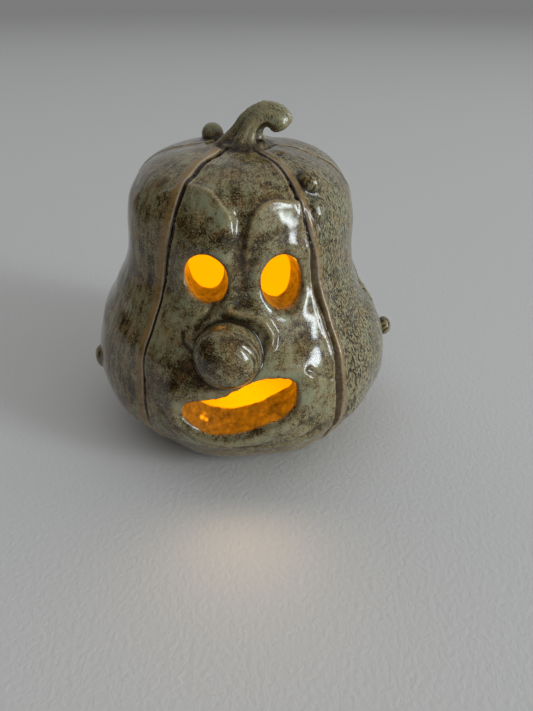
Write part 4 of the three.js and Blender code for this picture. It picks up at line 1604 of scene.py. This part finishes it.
def glaze_material(colours, speckle, amber):
    """Mottled glaze that breaks tan over lips and pools green at rims, with shade painted into its hollows.
    """
    material, shade, surface = new_material("mottled_glaze")
    marks = shade.group(speckle, {"Vector": shade.place(), **GLAZE_SPECKS})
    noises = glaze_noises(shade)
    patchy = noises["patchy"]
    lit = shade.group(amber, {"Glow": shade.attribute("glow"), "Grain": patchy, "Amber": rgba(colours.amber)})
    feed(shade.tree, surface.inputs["Base Color"], glaze_colour(shade, colours, noises, marks))
    roughness = patchy.about(GLAZE_FINISH["uneven"]) + GLAZE_FINISH["roughness"]
    feed(shade.tree, surface.inputs["Roughness"], roughness)
    feed(shade.tree, surface.inputs["Emission Color"], lit["Emission"])
    surface.inputs["Emission Strength"].default_value = EMISSION
    surface.inputs["Specular IOR Level"].default_value = GLAZE_FINISH["specular"]
    height = marks["Grain"] * GLAZE_BUMP["grain"] + patchy
    height = height + shade.attribute("streak") * noises["runs"] * GLAZE_BUMP["runs"]
    feed(shade.tree, surface.inputs["Normal"], shade.bump(height, GLAZE_FINISH))
    return material


def inner_material(colours, speckle, amber):
    """Thin amber-looking glaze on the inner wall and the cut edges, lit from inside and with that light also
    painted on as a glow.
    """
    material, shade, surface = new_material("lit_inner_wall")
    marks = shade.group(speckle, {"Vector": shade.place(), **INNER_SPECKS})
    patchy = shade.noise(shade.place(offset=NOISE_OFFSETS["inner"]), **NOISES["inner"])
    glow = shade.attribute("glow")
    uneven = (glow * -1.0 + INNER_GRAIN["lit_from"]).clipped()
    grain = (patchy - 0.5) * uneven * INNER_GRAIN["patches"]
    grain = grain + marks["Specks"] * uneven * INNER_GRAIN["specks"] - uneven * INNER_GRAIN["darker"] + 0.5
    lit = shade.group(amber, {"Glow": glow, "Grain": grain, "Amber": rgba(colours.amber)})
    colour = shade.mix(patchy, rgba(colours.dark), rgba(colours.umber))
    feed(shade.tree, surface.inputs["Base Color"], colour)
    roughness = marks["Grain"] * INNER_FINISH["uneven"] + INNER_FINISH["roughness"]
    feed(shade.tree, surface.inputs["Roughness"], roughness)
    surface.inputs["Specular IOR Level"].default_value = INNER_FINISH["specular"]
    feed(shade.tree, surface.inputs["Emission Color"], lit["Emission"])
    surface.inputs["Emission Strength"].default_value = EMISSION
    feed(shade.tree, surface.inputs["Normal"], shade.bump(marks["Grain"], INNER_FINISH))
    return material


def clay_material(colours, speckle):
    """Bare gritty stoneware of the ring that stands on the table."""
    material, shade, surface = new_material("bare_clay")
    place = shade.place()
    marks = shade.group(speckle, {"Vector": place, **CLAY_SPECKS})
    colour = shade.mix(shade.noise(place, **NOISES["clay"]), rgba(colours.clay), rgba(colours.tan))
    colour = shade.mix(marks["Specks"] * SPECK_SHADE, colour, rgba(colours.umber))
    feed(shade.tree, surface.inputs["Base Color"], colour)
    roughness = marks["Grain"] * CLAY_FINISH["uneven"] + CLAY_FINISH["roughness"]
    feed(shade.tree, surface.inputs["Roughness"], roughness)
    feed(shade.tree, surface.inputs["Normal"], shade.bump(marks["Grain"], CLAY_FINISH))
    return material


class LANTERN_OT_build_body(bpy.types.Operator):
    """Fuses the gourd, the face, the stem and the warts into one hollow piece and glazes it"""

    bl_idname = "lantern.build_body"
    bl_label = "Build lantern"

    def execute(self, context):
        clay = Clay(context.scene.lantern_shape)
        grid, body, fields = fused_clay(clay)
        points, quads = grid.to_mesh(body)
        points[:, 2] = np.maximum(points[:, 2], 0)
        mesh = bpy.data.meshes.new("lantern_clay")
        mesh.from_pydata(((points + BODY_AXIS) * MM).tolist(), [], quads.tolist())
        lantern = bpy.data.objects.new("lantern_clay", mesh)
        context.scene.collection.objects.link(lantern)
        thin_hidden_faces(lantern, grid, fields)
        lantern.data.polygons.foreach_set("use_smooth", [True] * len(lantern.data.polygons))
        points, inner = paint_glaze_maps(lantern, clay, grid, body, fields)
        colours = context.scene.lantern_glaze
        speckle, amber = speckle_group(), amber_group()
        lantern.data.materials.append(glaze_material(colours, speckle, amber))
        lantern.data.materials.append(inner_material(colours, speckle, amber))
        lantern.data.materials.append(clay_material(colours, speckle))
        for face in lantern.data.polygons:
            corners = list(face.vertices)
            if points[corners, 2].max() < FOOT_RING:
                face.material_index = BARE_FACES
            elif inner[corners].mean() > INNER_SHARE:
                face.material_index = LIT_FACES
        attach(lantern, BODY)
        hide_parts(NODE)
        return {"FINISHED"}


def paper_material(colour):
    """Matt paper with a soft tooth."""
    material, shade, surface = new_material("pale_paper")
    tooth = shade.noise(shade.place(), **NOISES["paper"])
    feed(shade.tree, surface.inputs["Base Color"], rgba(colour))
    surface.inputs["Roughness"].default_value = PAPER_FINISH["roughness"]
    feed(shade.tree, surface.inputs["Normal"], shade.bump(tooth, PAPER_FINISH))
    return material


def add_object(name, data, place=(0, 0, 0)):
    made = bpy.data.objects.new(name, data)
    made.location = place
    bpy.context.scene.collection.objects.link(made)
    return made


def paper_floor(colour):
    half = FLOOR_HALF
    corners = [(-half, -half, 0), (half, -half, 0), (half, half, 0), (-half, half, 0)]
    mesh = bpy.data.meshes.new("paper_floor")
    mesh.from_pydata(corners, [], [(0, 1, 2, 3)])
    mesh.materials.append(paper_material(colour))
    return add_object("paper_floor", mesh)


def area_light(name, light, power):
    """A soft rectangular light that faces its target."""
    data = bpy.data.lights.new(name, "AREA")
    data.shape = "RECTANGLE"
    data.size, data.size_y = light["size"]
    data.energy = power
    data.color = light["colour"]
    made = add_object(name, data, light["place"])
    direction = made.location - Vector(light["target"])
    made.rotation_euler = direction.to_track_quat("Z", "Y").to_euler()
    return made


def flame_light(power):
    """The small warm light that stands inside on the table."""
    data = bpy.data.lights.new("tea_light", "POINT")
    data.energy = power
    data.color = FLAME["colour"]
    data.shadow_soft_size = FLAME["radius"]
    return add_object("tea_light", data, (BODY_AXIS[0] * MM, BODY_AXIS[1] * MM, GLOW_LIGHT[2] * MM))


def room_light(scene):
    """Soft room light by direction. The camera sees a plain backdrop in its place."""
    scene.world = bpy.data.worlds.new("room")
    scene.world.use_nodes = True
    tree = scene.world.node_tree
    shade = Shade(tree)
    where = add_node(tree, "ShaderNodeTexCoord").outputs["Generated"]
    depth = Field(tree, add_node(tree, "ShaderNodeSeparateXYZ", {0: where}).outputs["Y"])
    colour = shade.mix(depth.eased(*ROOM["turn"]), rgba(ROOM["front"]), rgba(ROOM["back"]))
    for side in ROOM_SIDES:
        values = {0: where, 1: side["towards"]}
        towards = node_out(tree, "ShaderNodeVectorMath", values, output=1, operation="DOT_PRODUCT")
        colour = shade.mix(towards.eased(*side["edge"]), colour, rgba(side["light"]))
    seen = Field(tree, add_node(tree, "ShaderNodeLightPath").outputs["Is Camera Ray"])
    feed(tree, tree.nodes["Background"].inputs["Color"], shade.mix(seen, colour, rgba(BACKDROP)))


class LANTERN_OT_set_stage(bpy.types.Operator):
    """Lays the paper floor, sets the lights and places the camera"""

    bl_idname = "lantern.set_stage"
    bl_label = "Set stage"

    def execute(self, context):
        scene, stage = context.scene, context.scene.lantern_stage
        paper_floor(stage.floor_colour)
        area_light("window", WINDOW, stage.window_power)
        ceiling = area_light("ceiling", CEILING, stage.fill_power)
        ceiling.visible_glossy = False
        area_light("mouth_spill", MOUTH_SPILL, SPILL_POWER)
        flame_light(stage.glow_power)
        room_light(scene)
        lens = bpy.data.cameras.new("camera")
        lens.sensor_width = SENSOR
        lens.lens = stage.camera_lens
        lens.clip_start = CLIP_START
        camera = add_object("camera", lens, stage.camera_place)
        camera.rotation_euler = (math.pi / 2 - stage.camera_pitch, 0, 0)
        scene.camera = camera
        scene.view_settings.view_transform = "Standard"
        return {"FINISHED"}


class LANTERN_PT_panel(bpy.types.Panel):
    """Sizes, colours and steps of the lantern"""

    bl_idname = "LANTERN_PT_panel"
    bl_label = "Stoneware lantern"
    bl_space_type = "VIEW_3D"
    bl_region_type = "UI"
    bl_category = "Lantern"

    def draw(self, context):
        scene = context.scene
        for group in (scene.lantern_shape, scene.lantern_glaze, scene.lantern_stage):
            column = self.layout.column(align=True)
            for name in group.__annotations__:
                column.prop(group, name)
        for operator in (LANTERN_OT_build_body, LANTERN_OT_set_stage):
            self.layout.operator(operator.bl_idname)


CLASSES = (
    LanternShape,
    LanternGlaze,
    LanternStage,
    LANTERN_OT_build_body,
    LANTERN_OT_set_stage,
    LANTERN_PT_panel,
)


def register():
    for cls in CLASSES:
        bpy.utils.register_class(cls)
    bpy.types.Scene.lantern_shape = PointerProperty(type=LanternShape)
    bpy.types.Scene.lantern_glaze = PointerProperty(type=LanternGlaze)
    bpy.types.Scene.lantern_stage = PointerProperty(type=LanternStage)


def unregister():
    del bpy.types.Scene.lantern_stage
    del bpy.types.Scene.lantern_glaze
    del bpy.types.Scene.lantern_shape
    for cls in reversed(CLASSES):
        bpy.utils.unregister_class(cls)


def main():
    register()
    bpy.ops.lantern.build_body()
    bpy.ops.lantern.set_stage()


if __name__ == "__main__":
    main()
